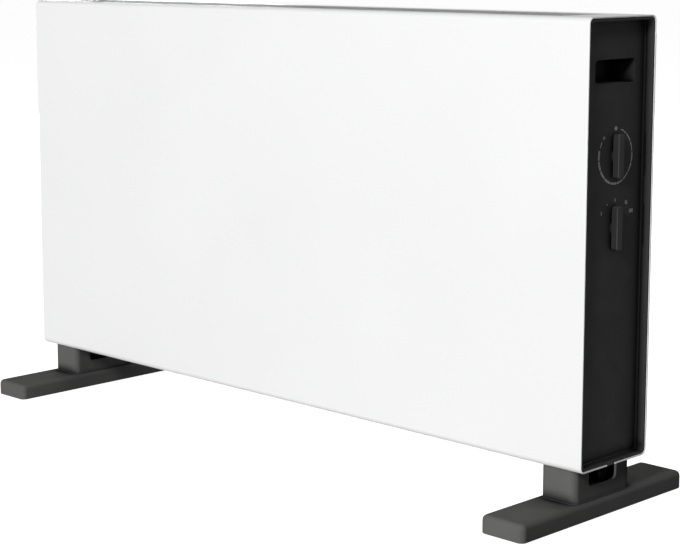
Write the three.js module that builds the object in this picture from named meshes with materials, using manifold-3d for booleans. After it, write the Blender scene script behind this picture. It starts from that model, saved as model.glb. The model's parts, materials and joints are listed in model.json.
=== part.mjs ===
// Panel convector heater on two T-shaped feet, in millimetres, +Z up.
// The origin is on the floor under the middle of the case. +X runs to the end that has
// the two controls, and -Y is the plain front panel.

import * as THREE from "three";
import { mergeVertices } from "three/addons/utils/BufferGeometryUtils.js";
import Module from "manifold-3d";

const wasm = await Module();
wasm.setup();

// Driving dimensions

// Clearances
const partGap = 0.3; // between pieces that touch
const screwPlay = 0.3; // round a screw in its hole, on the radius
const turnPlay = 0.4; // round a piece that turns in its hole, on the radius

// Case: one sheet of steel folded round the front, top, bottom and the edges of the rear
const caseWidth = 780;
const caseDepth = 97;
const caseHeight = 396;
const caseCorner = 6;
const sheetWall = 0.8;
const hemWall = 0.8; // the second layer where the sheet is folded back at both ends
const hemWidth = 8;
const rearReturn = 16;

// Warm air outlet in the top of the case
const outletInset = 38; // from the end of the case to the outlet
const outletDepth = 60;
const outletOffset = -8; // from the middle of the case towards the front
const grilleHeight = 9;
const grilleBorder = 4;
const grilleLipWidth = 3;
const grilleLipHeight = 1.2;
const grilleBar = 1.8;
const grilleRib = 2.4;
const grilleRows = 6;
const grilleColumns = 10;

// Cold air slots in the bottom of the case and low in the rear cover
const slotLength = 46;
const slotHeight = 5;
const slotPitch = 58;
const slotInset = 85; // from the end of the case to the nearest slot
const slotRowPitch = 14;
const bottomSlotRows = 2;
const rearSlotRows = 3;
const rearSlotRise = 36; // from the lower edge of the rear cover to its lowest row

// Rear cover and its keyholes for hanging on a wall
const coverOverlap = 10;
const keyholeInset = 140; // from the end of the case
const keyholeDrop = 55;
const keyholeHead = 5;
const keyholeNeck = 2.5;
const keyholeRise = 12;

// End caps: shallow trays pushed into both ends of the case
const capRecess = 9.5;
const capRimInset = 0.4;
const capWall = 2;
const capFloor = 2.5;
const capFillet = 1.5;
const capCavityCorner = 4.6;
const capSkirt = 12;
const clipWidth = 11;
const clipLength = 4.5;
const clipOffset = -4; // from the middle of the case towards the rear

// Hand grip in each end cap
const gripWidth = 59;
const gripHeight = 21;
const gripCorner = 4;
const gripDepth = 26;
const gripWall = 2;
const gripDrop = 48; // from the top of the case to the middle of the grip
const gripOffset = 2.9;

// Controls on the right end cap
const controlOffset = 4.8;
const thermostatDrop = 121.8;
const selectorDrop = 185;
const leverLength = 38.5;
const leverWidth = 8;
const leverHeight = 6.4;
const leverCorner = 2;
const leverEdge = 0.8;
const leverLift = 0.4;
const hubRadius = 5.5;
const hubLength = 7;
const spindleRadius = 3;
const spindleFlat = 2.2; // from the spindle's axis to its flat
const spindleTail = 8; // inside the control's body
const thermostatSize = { width: 34, height: 36, length: 20 };
const selectorSize = { width: 30, height: 30, length: 24 };
const thermostatTags = [[-8, 0], [8, 0]];
const selectorTags = [[-8, -6], [8, -6], [0, 8]];
const collarRadius = 4.6;
const collarProud = 4.4; // of the plate
const nutRadius = 8;
const nutLength = 3.2;

// Steel plate that carries both controls
const plateWall = 1;
const controlPlateWidth = 44;
const controlPlateOverhang = 40; // from each control's axis to the plate's screw
const controlPlateEnd = 8; // from the screw to the plate's end
const capBossLength = 9;
const capBossRadius = 4;

// Heating elements: finned rods in ceramic bushes, held by two steel brackets
const elementOffset = 2;
const lowerElementRise = 62; // above the bottom of the case
const elementSpacing = 42;
const rodRadius = 4.2;
const finWidth = 44;
const finHeight = 30;
const finWall = 1.2;
const finPitch = 34;
const finInset = 53; // from the bracket to the nearest fin
const rodOverhang = 16; // past the bracket
const pinRadius = 1.6;
const pinLength = 7;
const bushPlay = 0.4;
const bushNeck = 6.2;
const bushNeckLength = 5;
const bushFlange = 9;
const bushFlangeLength = 3.5;
const bracketInset = 65; // from the end of the case to the bracket's plate
const bracketWall = 1;
const bracketFlange = 14;
const bracketRise = 22; // above the bottom of the case
const bracketHeight = 140;

// Heat shield between the elements and the front panel
const shieldWall = 0.8;
const shieldStandoff = 10.5; // from the inside of the front panel
const shieldRise = 26;
const shieldHeight = 325;
const shieldLip = 6;
const tabWidth = 14;
const tabWall = 2;
const tabReach = 3;
const tabInset = 20; // from the bracket's upper and lower edges

// Overheat cut-out on the right bracket
const cutoutRise = 40; // above the upper element
const cutoutRadius = 7.5;
const cutoutFlange = 11;
const cutoutFlangeLength = 1.6;
const cutoutNose = 4;
const cutoutBody = 8;
const cutoutTagOffsets = [-5, 5];

// Terminal block and cable gland
const blockDepth = 16;
const blockWidth = 30;
const blockHeight = 14;
const blockRise = 28;
const blockOffset = 22;
const poleSize = 5;
const poleDepth = 6;
const poleCount = 3;
const polePitch = 9;
const glandInset = 37;
const glandRise = 42;
const glandBore = 3.8;
const glandBarrel = 7;
const glandBarrelLength = 10;
const glandFlange = 10;
const glandFlangeLength = 3;
const glandNose = 8;
const glandNoseLength = 7;
const glandNutRadius = 11;
const glandNutLength = 3.4;

// Wiring
const wireRadius = 1.2;
const wireStep = 20; // the longest straight stretch of a bent wire
const wireSteps = 10; // the fewest such stretches in a wire
const wireLead = 5; // the straight stretch at a wire's end
const wireBow = 4; // sideways, where a wire bends round something
const wireTurn = 12; // the height or depth that a wire takes to turn a corner
const wireDrop = 22; // below or above a piece before the wire turns away from it
const wireDip = 34; // below the selector's axis, where its wires part
const rearLane = 32; // the depths that the wires run at, from the middle of the case
const middleLane = 22;
const frontLane = -18;
const floorLane = -14;
const floorClearance = 8; // between the lowest wire and the bottom of the case
const earthDrop = 5; // below the top of the terminal block
const tagLength = 7;
const tagWidth = 5;
const tagWall = 1;

// Feet
const padProud = 0.75;
const padDepth = 2;
const padRadius = 10;
const padInset = 18; // from the end of the bar
const barLength = 237.4;
const barWidth = 47.6;
const barHeight = 16.5;
const barCorner = 6;
const barEdge = 4.8;
const barPocketWall = 3;
const barPocketTop = 4;
const barPocketGap = 5; // from the pocket to the pad's seat and to the pedestal's wall
const footInset = 31.1; // from the end of the case to the middle of the foot
const pedestalWidth = 38.4;
const pedestalDepth = 83.6;
const pedestalHeight = 31.25;
const pedestalCorner = 7.5;
const pedestalWall = 3;
const pedestalFloor = 2.5;
const notchWidth = 41.6;
const notchDepth = 19; // below the bottom of the case
const notchCorner = 5;
const postSpacing = 54;
const postRadius = 5;
const stripWidth = 12.6;
const stripWall = 2;
const stripEnd = 8;

// Screws: head radius, head height, shank radius and length
const footScrew = { head: 4, headHeight: 2.6, shank: 2, length: 43 };
const coverScrew = { head: 3.2, headHeight: 2, shank: 1.5, length: 8 };
const capScrew = { head: 3.2, headHeight: 2, shank: 1.5, length: 12 };
const plateScrew = { head: 3, headHeight: 2, shank: 1.5, length: 6 };
const footScrewSeat = 4.5; // material of the bar left above the head
const coverScrewInset = 110; // from the end of the case
const capScrewDrop = 27; // from the top and bottom of the case

// Places worked out from the driving dimensions

const halfWidth = caseWidth / 2;
const halfDepth = caseDepth / 2;
const barBottom = padProud;
const barTop = barBottom + barHeight;
const caseBottom = barTop + pedestalHeight;
const caseTop = caseBottom + caseHeight;
const footX = halfWidth - footInset;
const hemInner = sheetWall + hemWall;
const outletLength = caseWidth - 2 * outletInset;
const slotFieldLength = caseWidth - 2 * slotInset;

const capInset = hemInner + partGap; // from the outside of the case to the cap's wall
const capFloorX = halfWidth - capRecess;
const capInnerX = capFloorX - capFloor - capSkirt;
const capBackX = capFloorX - capFloor;
const gripZ = caseTop - gripDrop;
const thermostatZ = caseTop - thermostatDrop;
const selectorZ = caseTop - selectorDrop;

const plateX = capBackX - capBossLength - partGap - plateWall;
const controlFaceX = plateX - partGap;
const leverBase = capFloorX + leverLift;

const bracketX = halfWidth - bracketInset;
const bracketRear = halfDepth - sheetWall - partGap;
const shieldY = -halfDepth + sheetWall + shieldStandoff;
const bracketFront = shieldY + shieldWall + partGap;
const bracketBottom = caseBottom + bracketRise;
const bracketTop = bracketBottom + bracketHeight;
const lowerElementZ = caseBottom + lowerElementRise;
const upperElementZ = lowerElementZ + elementSpacing;
const rodEnd = bracketX + bracketWall + rodOverhang;
const pinEnd = rodEnd + pinLength;
const finCount = 1 + Math.floor((2 * (bracketX - finInset)) / finPitch);
const cutoutZ = upperElementZ + cutoutRise;
const blockBottom = caseBottom + blockRise;
const blockTop = blockBottom + blockHeight;
const blockX = bracketX + bracketWall + partGap;
const glandX = halfWidth - glandInset;
const glandZ = caseBottom + glandRise;

// Finishes: colour, roughness, metalness

const finishes = {
  whitePaint: [0xf1f1f1, 0.42, 0.0],
  blackPlastic: [0x1d1f1e, 0.5, 0.0],
  knobPlastic: [0x2c2c2c, 0.45, 0.0],
  grillePlastic: [0x949494, 0.5, 0.0],
  footPlastic: [0x3b3b39, 0.55, 0.0],
  rubber: [0x141414, 0.85, 0.0],
  zincSteel: [0xb9bdc0, 0.38, 0.9],
  aluminium: [0xc9ccce, 0.35, 0.95],
  ceramic: [0xe7dfcf, 0.6, 0.0],
  lightPlastic: [0xe2e0d8, 0.5, 0.0],
  darkScrew: [0x2a2a2a, 0.4, 0.8],
  redWire: [0x9c2f24, 0.6, 0.0],
  blueWire: [0x2b4f8f, 0.6, 0.0],
  greenWire: [0x5d8f2f, 0.6, 0.0],
};

function finish([color, roughness, metalness]) {
  return new THREE.MeshStandardMaterial({ color, roughness, metalness });
}

// Solids

function solid(geometry) {
  const bare = geometry.clone();
  bare.deleteAttribute("normal");
  bare.deleteAttribute("uv");
  const merged = mergeVertices(bare);
  return new wasm.Manifold(new wasm.Mesh({
    numProp: 3,
    vertProperties: new Float32Array(merged.attributes.position.array),
    triVerts: new Uint32Array(merged.index.array),
  }));
}

function geometryOf(body) {
  const { vertProperties, triVerts } = body.getMesh();
  const geometry = new THREE.BufferGeometry();
  geometry.setAttribute("position", new THREE.BufferAttribute(vertProperties, 3));
  geometry.setIndex(new THREE.BufferAttribute(triVerts, 1));
  geometry.computeVertexNormals();
  return geometry;
}

function piece(name, body, look) {
  const mesh = new THREE.Mesh(geometryOf(body), finish(look));
  mesh.name = name;
  return mesh;
}

function block(x0, x1, y0, y1, z0, z1) {
  const geometry = new THREE.BoxGeometry(Math.abs(x1 - x0), Math.abs(y1 - y0), Math.abs(z1 - z0));
  geometry.translate((x0 + x1) / 2, (y0 + y1) / 2, (z0 + z1) / 2);
  return solid(geometry);
}

// A round bar along "x", "y" or "z". The two middle values are its other coordinates in order.
function rod(axis, radius, from, to, first, second, sides = 16) {
  const geometry = new THREE.CylinderGeometry(radius, radius, Math.abs(to - from), sides);
  const middle = (from + to) / 2;
  if (axis === "x") {
    geometry.rotateZ(Math.PI / 2).translate(middle, first, second);
  } else if (axis === "y") {
    geometry.translate(first, middle, second);
  } else {
    geometry.rotateX(Math.PI / 2).translate(first, second, middle);
  }
  return solid(geometry);
}

function roundedRectangle(centreX, centreY, width, height, corner) {
  const left = centreX - width / 2;
  const right = centreX + width / 2;
  const low = centreY - height / 2;
  const high = centreY + height / 2;
  const shape = new THREE.Shape();
  shape.moveTo(left + corner, low);
  shape.lineTo(right - corner, low);
  shape.absarc(right - corner, low + corner, corner, -Math.PI / 2, 0);
  shape.lineTo(right, high - corner);
  shape.absarc(right - corner, high - corner, corner, 0, Math.PI / 2);
  shape.lineTo(left + corner, high);
  shape.absarc(left + corner, high - corner, corner, Math.PI / 2, Math.PI);
  shape.lineTo(left, low + corner);
  shape.absarc(left + corner, low + corner, corner, Math.PI, 1.5 * Math.PI);
  return shape;
}

// A shape drawn in Y and Z and stretched along X. Both ends are rounded over by edge.
function prismAlongX(shape, from, to, edge = 0) {
  const low = Math.min(from, to);
  const length = Math.abs(to - from);
  const geometry = new THREE.ExtrudeGeometry(shape, roundOver(length, edge));
  geometry.applyMatrix4(new THREE.Matrix4().makeBasis(
    new THREE.Vector3(0, 1, 0),
    new THREE.Vector3(0, 0, 1),
    new THREE.Vector3(1, 0, 0),
  ));
  geometry.translate(low + edge, 0, 0);
  return solid(geometry);
}

// A shape drawn in X and Y and stretched along Z. Both ends are rounded over by edge.
function prismAlongZ(shape, from, to, edge = 0) {
  const geometry = new THREE.ExtrudeGeometry(shape, roundOver(to - from, edge));
  geometry.translate(0, 0, from + edge);
  return solid(geometry);
}

function roundOver(length, edge) {
  return {
    depth: length - 2 * edge,
    curveSegments: 4,
    bevelEnabled: edge > 0,
    bevelThickness: edge,
    bevelSize: edge,
    bevelOffset: -edge,
    bevelSegments: 2,
  };
}

function join(bodies) {
  return bodies.reduce((whole, body) => whole.add(body));
}

function cut(body, tools) {
  return tools.reduce((rest, tool) => rest.subtract(tool), body);
}

function copies(count, pitch) {
  return Array.from({ length: count }, (_, index) => (index - (count - 1) / 2) * pitch);
}

// Case

function caseOutline(inset) {
  return roundedRectangle(
    0,
    (caseBottom + caseTop) / 2,
    caseDepth - 2 * inset,
    caseHeight - 2 * inset,
    caseCorner - inset,
  );
}

function caseRing(wall, from, to) {
  const past = 1;
  const outside = prismAlongX(caseOutline(0), from, to);
  return outside.subtract(prismAlongX(caseOutline(wall), from - past, to + past));
}

// The rows of air slots, as solids to cut away. The place gives the middle of each row.
function slotRows(rows, slotAt) {
  const perRow = Math.floor((slotFieldLength + slotPitch - slotLength) / slotPitch);
  return copies(rows, slotRowPitch).flatMap(
    (across) => copies(perRow, slotPitch).map((along) => slotAt(along, across)),
  );
}

function frontCasing() {
  const sheet = join([
    caseRing(sheetWall, -halfWidth, halfWidth),
    caseRing(hemInner, -halfWidth, -halfWidth + hemWidth),
    caseRing(hemInner, halfWidth - hemWidth, halfWidth),
  ]);
  const rearWindow = block(
    -halfWidth - 1,
    halfWidth + 1,
    halfDepth - caseCorner,
    halfDepth + 1,
    caseBottom + rearReturn,
    caseTop - rearReturn,
  );
  const outlet = block(
    -outletLength / 2,
    outletLength / 2,
    outletOffset - outletDepth / 2,
    outletOffset + outletDepth / 2,
    caseTop - caseCorner,
    caseTop + 1,
  );
  const slots = slotRows(bottomSlotRows, (along, across) => block(
    along - slotLength / 2,
    along + slotLength / 2,
    across - slotHeight / 2,
    across + slotHeight / 2,
    caseBottom - 1,
    caseBottom + 2 * sheetWall,
  ));
  const ends = [-1, 1].flatMap((side) => [
    block(
      side * (halfWidth + 1),
      side * (halfWidth - capRimInset - clipLength - partGap),
      clipOffset - clipWidth / 2 - partGap,
      clipOffset + clipWidth / 2 + partGap,
      caseBottom - 1,
      caseBottom + capInset,
    ),
    ...postPlaces().map((y) => rod(
      "z",
      footScrew.shank + screwPlay,
      caseBottom - 1,
      caseBottom + 2 * sheetWall,
      side * footX,
      y,
    )),
  ]);
  const coverHoles = coverScrewPlaces().map(([x, z]) => rod(
    "y",
    coverScrew.shank + screwPlay,
    halfDepth - 2 * sheetWall,
    halfDepth + 1,
    x,
    z,
    12,
  ));
  const body = cut(sheet, [rearWindow, outlet, ...slots, ...ends, ...coverHoles]);
  return piece("front_casing", body, finishes.whitePaint);
}

function coverScrewPlaces() {
  const rise = rearReturn / 2;
  return copies(2, caseWidth - 2 * coverScrewInset).flatMap(
    (x) => [[x, caseBottom + rise], [x, caseTop - rise]],
  );
}

function capScrewPlaces() {
  const x = (capInnerX + capBackX) / 2;
  return [-x, x].flatMap((place) => [
    [place, caseBottom + capScrewDrop],
    [place, caseTop - capScrewDrop],
  ]);
}

function bracketScrewPlaces() {
  const x = bracketX + (bracketWall + bracketFlange) / 2;
  return [-x, x].map((place) => [place, (bracketBottom + bracketTop) / 2]);
}

function rearCover() {
  const low = caseBottom + rearReturn + partGap;
  const high = caseTop - rearReturn - partGap;
  const flangeY = halfDepth - 2 * sheetWall - partGap;
  const flangeX = capInnerX - partGap;
  const flangeReach = coverOverlap + partGap;
  const plate = join([
    block(-halfWidth, halfWidth, halfDepth - sheetWall, halfDepth, low, high),
    block(-halfWidth, hemWidth - halfWidth, halfDepth - hemInner, halfDepth, low, high),
    block(halfWidth - hemWidth, halfWidth, halfDepth - hemInner, halfDepth, low, high),
    block(-flangeX, flangeX, flangeY, halfDepth, low, low + sheetWall),
    block(-flangeX, flangeX, flangeY, halfDepth, high - sheetWall, high),
    block(-flangeX, flangeX, flangeY, flangeY + sheetWall, low - flangeReach, low + sheetWall),
    block(-flangeX, flangeX, flangeY, flangeY + sheetWall, high - sheetWall, high + flangeReach),
  ]);
  const slotMiddle = low + rearSlotRise + ((rearSlotRows - 1) / 2) * slotRowPitch;
  const slots = slotRows(rearSlotRows, (along, across) => block(
    along - slotLength / 2,
    along + slotLength / 2,
    halfDepth - 2 * sheetWall,
    halfDepth + 1,
    slotMiddle + across - slotHeight / 2,
    slotMiddle + across + slotHeight / 2,
  ));
  const through = [halfDepth - caseCorner, halfDepth + 1];
  const keyholeZ = caseTop - rearReturn - keyholeDrop;
  const keyholes = copies(2, caseWidth - 2 * keyholeInset).map((x) => join([
    rod("y", keyholeHead, ...through, x, keyholeZ),
    rod("y", keyholeNeck, ...through, x, keyholeZ + keyholeRise, 12),
    block(x - keyholeNeck, x + keyholeNeck, ...through, keyholeZ, keyholeZ + keyholeRise),
  ]));
  const hole = (screw) => ([x, z]) => rod("y", screw.shank + screwPlay, ...through, x, z, 12);
  const holes = [
    ...coverScrewPlaces().map(hole(coverScrew)),
    ...capScrewPlaces().map(hole(capScrew)),
    ...bracketScrewPlaces().map(hole(coverScrew)),
  ];
  const gland = rod("y", glandBarrel + partGap, ...through, glandX, glandZ);
  const body = cut(plate, [...slots, ...keyholes, ...holes, gland]);
  return piece("rear_cover", body, finishes.whitePaint);
}

function outletGrille() {
  const length = outletLength - 2 * partGap;
  const depth = outletDepth - 2 * partGap;
  const lipTop = -sheetWall - partGap;
  const rim = join([
    block(-length / 2, length / 2, -depth / 2, depth / 2, -grilleHeight, 0),
    block(
      -length / 2 - grilleLipWidth,
      length / 2 + grilleLipWidth,
      -depth / 2 - grilleLipWidth,
      depth / 2 + grilleLipWidth,
      lipTop - grilleLipHeight,
      lipTop,
    ),
  ]);
  const rowPitch = (depth - 2 * grilleBorder + grilleBar) / grilleRows;
  const columnPitch = (length - 2 * grilleBorder + grilleRib) / grilleColumns;
  const cellDepth = rowPitch - grilleBar;
  const cellLength = columnPitch - grilleRib;
  const cells = copies(grilleRows, rowPitch).flatMap(
    (y) => copies(grilleColumns, columnPitch).map((x) => block(
      x - cellLength / 2,
      x + cellLength / 2,
      y - cellDepth / 2,
      y + cellDepth / 2,
      -grilleHeight - 1,
      1,
    )),
  );
  const grille = piece("outlet_grille", cut(rim, cells), finishes.grillePlastic);
  grille.position.set(0, outletOffset, caseTop);
  return grille;
}

// End caps

function gripOutline(grow) {
  return roundedRectangle(
    gripOffset,
    gripZ,
    gripWidth + 2 * grow,
    gripHeight + 2 * grow,
    gripCorner + grow,
  );
}

function endCap(name, side, controls) {
  const cavity = roundedRectangle(
    0,
    (caseBottom + caseTop) / 2,
    caseDepth - 2 * (capInset + capWall),
    caseHeight - 2 * (capInset + capWall),
    capCavityCorner,
  );
  const past = capRecess + capFillet;
  const rimX = halfWidth - capRimInset;
  const wallY = halfDepth - capInset;
  const screws = capScrewPlaces().filter(([x]) => x * side > 0);
  const tray = cut(prismAlongX(caseOutline(capInset), side * capInnerX, side * rimX), [
    prismAlongX(cavity, side * capFloorX, side * (capFloorX + past), capFillet),
    prismAlongX(cavity, side * (capInnerX - past), side * capBackX),
  ]);
  const clip = block(
    side * rimX,
    side * (rimX - clipLength),
    clipOffset - clipWidth / 2,
    clipOffset + clipWidth / 2,
    caseBottom,
    caseBottom + capInset + capWall / 2,
  );
  const gripEnd = capFloorX - gripDepth;
  const gripShell = prismAlongX(
    gripOutline(gripWall),
    side * (gripEnd - gripWall),
    side * capBackX,
  );
  const gripPocket = prismAlongX(
    gripOutline(0),
    side * gripEnd,
    side * (capFloorX + past),
    gripCorner / 2,
  );
  const wallBosses = screws.map(([x, z]) => rod(
    "y",
    capBossRadius,
    wallY - capWall / 2,
    wallY - capScrew.length,
    x,
    z,
    12,
  ));
  const wallPilots = screws.map(([x, z]) => rod(
    "y",
    capScrew.shank + screwPlay,
    wallY + 1,
    wallY - capScrew.length - 1,
    x,
    z,
    10,
  ));
  const added = join([tray, clip, gripShell, ...wallBosses]);
  const body = cut(added, [gripPocket, ...wallPilots]);
  return piece(name, controls ? withControlSeats(body) : body, finishes.blackPlastic);
}

// The bosses behind the floor of the right cap, and the two holes for the controls' hubs
function withControlSeats(cap) {
  const bossEnd = capBackX - capBossLength;
  const bosses = plateScrewHeights().map((z) => rod(
    "x",
    capBossRadius,
    bossEnd,
    capBackX + capFloor / 2,
    controlOffset,
    z,
    12,
  ));
  const pilots = plateScrewHeights().map((z) => rod(
    "x",
    plateScrew.shank + screwPlay,
    bossEnd - 1,
    capBackX,
    controlOffset,
    z,
    10,
  ));
  const hubHoles = [thermostatZ, selectorZ].map((z) => rod(
    "x",
    hubRadius + turnPlay,
    capBackX - 1,
    capFloorX + 1,
    controlOffset,
    z,
    20,
  ));
  return cut(join([cap, ...bosses]), [...pilots, ...hubHoles]);
}

// Controls

function plateScrewHeights() {
  return [selectorZ - controlPlateOverhang, thermostatZ + controlPlateOverhang];
}

// A round bar with one flat side, along X
function flattedBar(radius, flat, from, to, z) {
  const bar = rod("x", radius, from, to, controlOffset, z, 20);
  const side = block(
    from - 1,
    to + 1,
    controlOffset + flat,
    controlOffset + radius + 1,
    z - radius - 1,
    z + radius + 1,
  );
  return bar.subtract(side);
}

function knob(name, z) {
  const outline = roundedRectangle(controlOffset, z, leverWidth, leverLength, leverCorner);
  const below = block(
    leverBase - 2 * leverEdge,
    leverBase,
    controlOffset - leverWidth,
    controlOffset + leverWidth,
    z - leverLength,
    z + leverLength,
  );
  const lever = prismAlongX(outline, leverBase - leverEdge, leverBase + leverHeight, leverEdge);
  const hubEnd = leverBase - hubLength;
  const hub = rod("x", hubRadius, hubEnd, leverBase, controlOffset, z, 20);
  const coreRadius = leverWidth / 2 - leverEdge / 4;
  const core = rod("x", coreRadius, hubEnd, leverBase + leverEdge, controlOffset, z);
  const bore = flattedBar(
    spindleRadius + partGap,
    spindleFlat + partGap,
    hubEnd - 1,
    leverBase,
    z,
  );
  return piece(name, join([cut(lever, [below]), hub, core]).subtract(bore), finishes.knobPlastic);
}

function spindle(name, z) {
  const end = leverBase - partGap;
  const shoulder = leverBase - hubLength;
  const flat = flattedBar(spindleRadius, spindleFlat, shoulder - partGap, end, z);
  const tail = rod("x", spindleRadius, controlFaceX - spindleTail, shoulder, controlOffset, z, 20);
  return piece(name, flat.add(tail), finishes.zincSteel);
}

// The body behind the plate, with its threaded collar and the tags that the wires reach
function controlBody(name, size, z, tags, look) {
  const back = controlFaceX - size.length;
  const shell = block(
    back,
    controlFaceX,
    controlOffset - size.width / 2,
    controlOffset + size.width / 2,
    z - size.height / 2,
    z + size.height / 2,
  );
  const collarEnd = plateX + plateWall + collarProud;
  const collar = rod("x", collarRadius, controlFaceX - 1, collarEnd, controlOffset, z);
  const blades = tags.map(([across, up]) => block(
    back - tagLength,
    back + 1,
    controlOffset + across - tagWidth / 2,
    controlOffset + across + tagWidth / 2,
    z + up - tagWall / 2,
    z + up + tagWall / 2,
  ));
  const bore = rod(
    "x",
    spindleRadius + turnPlay,
    controlFaceX - spindleTail - partGap,
    collarEnd + 1,
    controlOffset,
    z,
    20,
  );
  return piece(name, join([shell, collar, ...blades]).subtract(bore), look);
}

function collarNut(name, z) {
  const face = plateX + plateWall + partGap;
  const hexagon = rod("x", nutRadius, face, face + nutLength, controlOffset, z, 6);
  const bore = rod("x", collarRadius + partGap, face - 1, face + nutLength + 1, controlOffset, z);
  return piece(name, hexagon.subtract(bore), finishes.zincSteel);
}

function controlPlate() {
  const [low, high] = plateScrewHeights();
  const plate = block(
    plateX,
    plateX + plateWall,
    controlOffset - controlPlateWidth / 2,
    controlOffset + controlPlateWidth / 2,
    low - controlPlateEnd,
    high + controlPlateEnd,
  );
  const hole = (radius, z) => rod("x", radius, plateX - 1, plateX + plateWall + 1, controlOffset, z);
  const holes = [
    hole(plateScrew.shank + screwPlay, low),
    hole(plateScrew.shank + screwPlay, high),
    hole(collarRadius + partGap, thermostatZ),
    hole(collarRadius + partGap, selectorZ),
  ];
  return piece("control_plate", cut(plate, holes), finishes.zincSteel);
}

// Heating elements

// A solid through rings of points, each ring with as many points as the last, ends closed
function loft(rings) {
  const count = rings[0].length;
  const index = [];
  rings.slice(1).forEach((_, ring) => {
    for (let point = 0; point < count; point += 1) {
      const next = (point + 1) % count;
      const low = ring * count;
      const high = low + count;
      index.push(low + point, low + next, high + next);
      index.push(low + point, high + next, high + point);
    }
  });
  const last = (rings.length - 1) * count;
  for (let point = 1; point < count - 1; point += 1) {
    index.push(0, point + 1, point);
    index.push(last, last + point, last + point + 1);
  }
  const geometry = new THREE.BufferGeometry();
  geometry.setAttribute("position", new THREE.Float32BufferAttribute(rings.flat(2), 3));
  geometry.setIndex(index);
  return solid(geometry);
}

const eightDirections = [[1, 0], [1, 1], [0, 1], [-1, 1], [-1, 0], [-1, -1], [0, -1], [1, -1]];

function roundRing(x, radius) {
  return eightDirections.map(([y, z]) => {
    const scale = radius / Math.hypot(y, z);
    return [x, y * scale, z * scale];
  });
}

function finRing(x) {
  return eightDirections.map(([y, z]) => [x, (y * finWidth) / 2, (z * finHeight) / 2]);
}

function heatingElement(name, z) {
  const fins = copies(finCount, finPitch).flatMap((x) => [
    roundRing(x - finWall / 2, rodRadius),
    finRing(x - finWall / 2),
    finRing(x + finWall / 2),
    roundRing(x + finWall / 2, rodRadius),
  ]);
  const body = loft([
    roundRing(-pinEnd, pinRadius),
    roundRing(-rodEnd, pinRadius),
    roundRing(-rodEnd, rodRadius),
    ...fins,
    roundRing(rodEnd, rodRadius),
    roundRing(rodEnd, pinRadius),
    roundRing(pinEnd, pinRadius),
  ]);
  const element = piece(name, body, finishes.aluminium);
  element.position.set(0, elementOffset, z);
  return element;
}

function ceramicBush(name, side, z) {
  const face = bracketX + bracketWall + partGap;
  const neckEnd = face - bushNeckLength;
  const flangeEnd = face + bushFlangeLength;
  const neck = rod("x", bushNeck, side * neckEnd, side * (face + 1), 0, 0, 14);
  const flange = rod("x", bushFlange, side * face, side * flangeEnd, 0, 0, 14);
  const boreEnds = [side * (neckEnd - 1), side * (flangeEnd + 1)];
  const bore = rod("x", rodRadius + bushPlay, ...boreEnds, 0, 0, 12);
  const bush = piece(name, neck.add(flange).subtract(bore), finishes.ceramic);
  bush.position.set(0, elementOffset, z);
  return bush;
}

function tabHeights() {
  return [bracketBottom + tabInset, bracketTop - tabInset];
}

function elementBracket(name, side, holdsCutout) {
  const near = side * bracketX;
  const wallEnd = side * (bracketX + bracketWall);
  const flangeEnd = side * (bracketX + bracketFlange);
  const tabX = bracketX + bracketFlange / 2;
  const sheet = join([
    block(near, wallEnd, bracketFront, bracketRear, bracketBottom, bracketTop),
    block(near, flangeEnd, bracketRear - bracketWall, bracketRear, bracketBottom, bracketTop),
    block(near, flangeEnd, bracketFront, bracketFront + bracketWall, bracketBottom, bracketTop),
    ...tabHeights().map((z) => block(
      side * (tabX - tabWall / 2),
      side * (tabX + tabWall / 2),
      shieldY - tabReach,
      bracketFront + bracketWall / 2,
      z - tabWidth / 2,
      z + tabWidth / 2,
    )),
  ]);
  const throughPlate = [side * (bracketX - 1), side * (bracketX + bracketWall + 1)];
  const bushHoles = [lowerElementZ, upperElementZ].map(
    (z) => rod("x", bushNeck + partGap, ...throughPlate, elementOffset, z),
  );
  const screwHoles = bracketScrewPlaces().filter(([x]) => x * side > 0).map(([x, z]) => rod(
    "y",
    coverScrew.shank + screwPlay,
    bracketRear - bracketWall - 1,
    bracketRear + 1,
    x,
    z,
    10,
  ));
  const cutoutHole = rod("x", cutoutRadius + partGap, ...throughPlate, elementOffset, cutoutZ);
  const holes = [...bushHoles, ...screwHoles, ...(holdsCutout ? [cutoutHole] : [])];
  return piece(name, cut(sheet, holes), finishes.zincSteel);
}

function heatShield() {
  const reach = bracketX + bracketFlange;
  const bottom = caseBottom + shieldRise;
  const top = bottom + shieldHeight;
  const back = shieldY + shieldWall;
  const sheet = join([
    block(-reach, reach, shieldY, back, bottom, top),
    block(-reach, reach, shieldY - shieldLip, back, bottom, bottom + shieldWall),
    block(-reach, reach, shieldY - shieldLip, back, top - shieldWall, top),
  ]);
  const tabX = bracketX + bracketFlange / 2;
  const slots = [-1, 1].flatMap((side) => tabHeights().map((z) => block(
    side * tabX - tabWall / 2 - partGap,
    side * tabX + tabWall / 2 + partGap,
    shieldY - 1,
    back + 1,
    z - tabWidth / 2 - partGap,
    z + tabWidth / 2 + partGap,
  )));
  return piece("heat_shield", cut(sheet, slots), finishes.zincSteel);
}

function thermalCutout() {
  const face = bracketX + bracketWall + partGap;
  const flangeEnd = face + cutoutFlangeLength;
  const bodyEnd = flangeEnd + cutoutBody;
  const round = (radius, from, to) => rod("x", radius, from, to, elementOffset, cutoutZ);
  const blades = cutoutTagOffsets.map((across) => block(
    bodyEnd - 1,
    bodyEnd + tagLength,
    elementOffset + across - tagWall / 2,
    elementOffset + across + tagWall / 2,
    cutoutZ - tagWidth / 2,
    cutoutZ + tagWidth / 2,
  ));
  const body = join([
    round(cutoutRadius, face - cutoutNose, bodyEnd),
    round(cutoutFlange, face, flangeEnd),
    ...blades,
  ]);
  return piece("thermal_cutout", body, finishes.ceramic);
}

// Supply side

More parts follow.
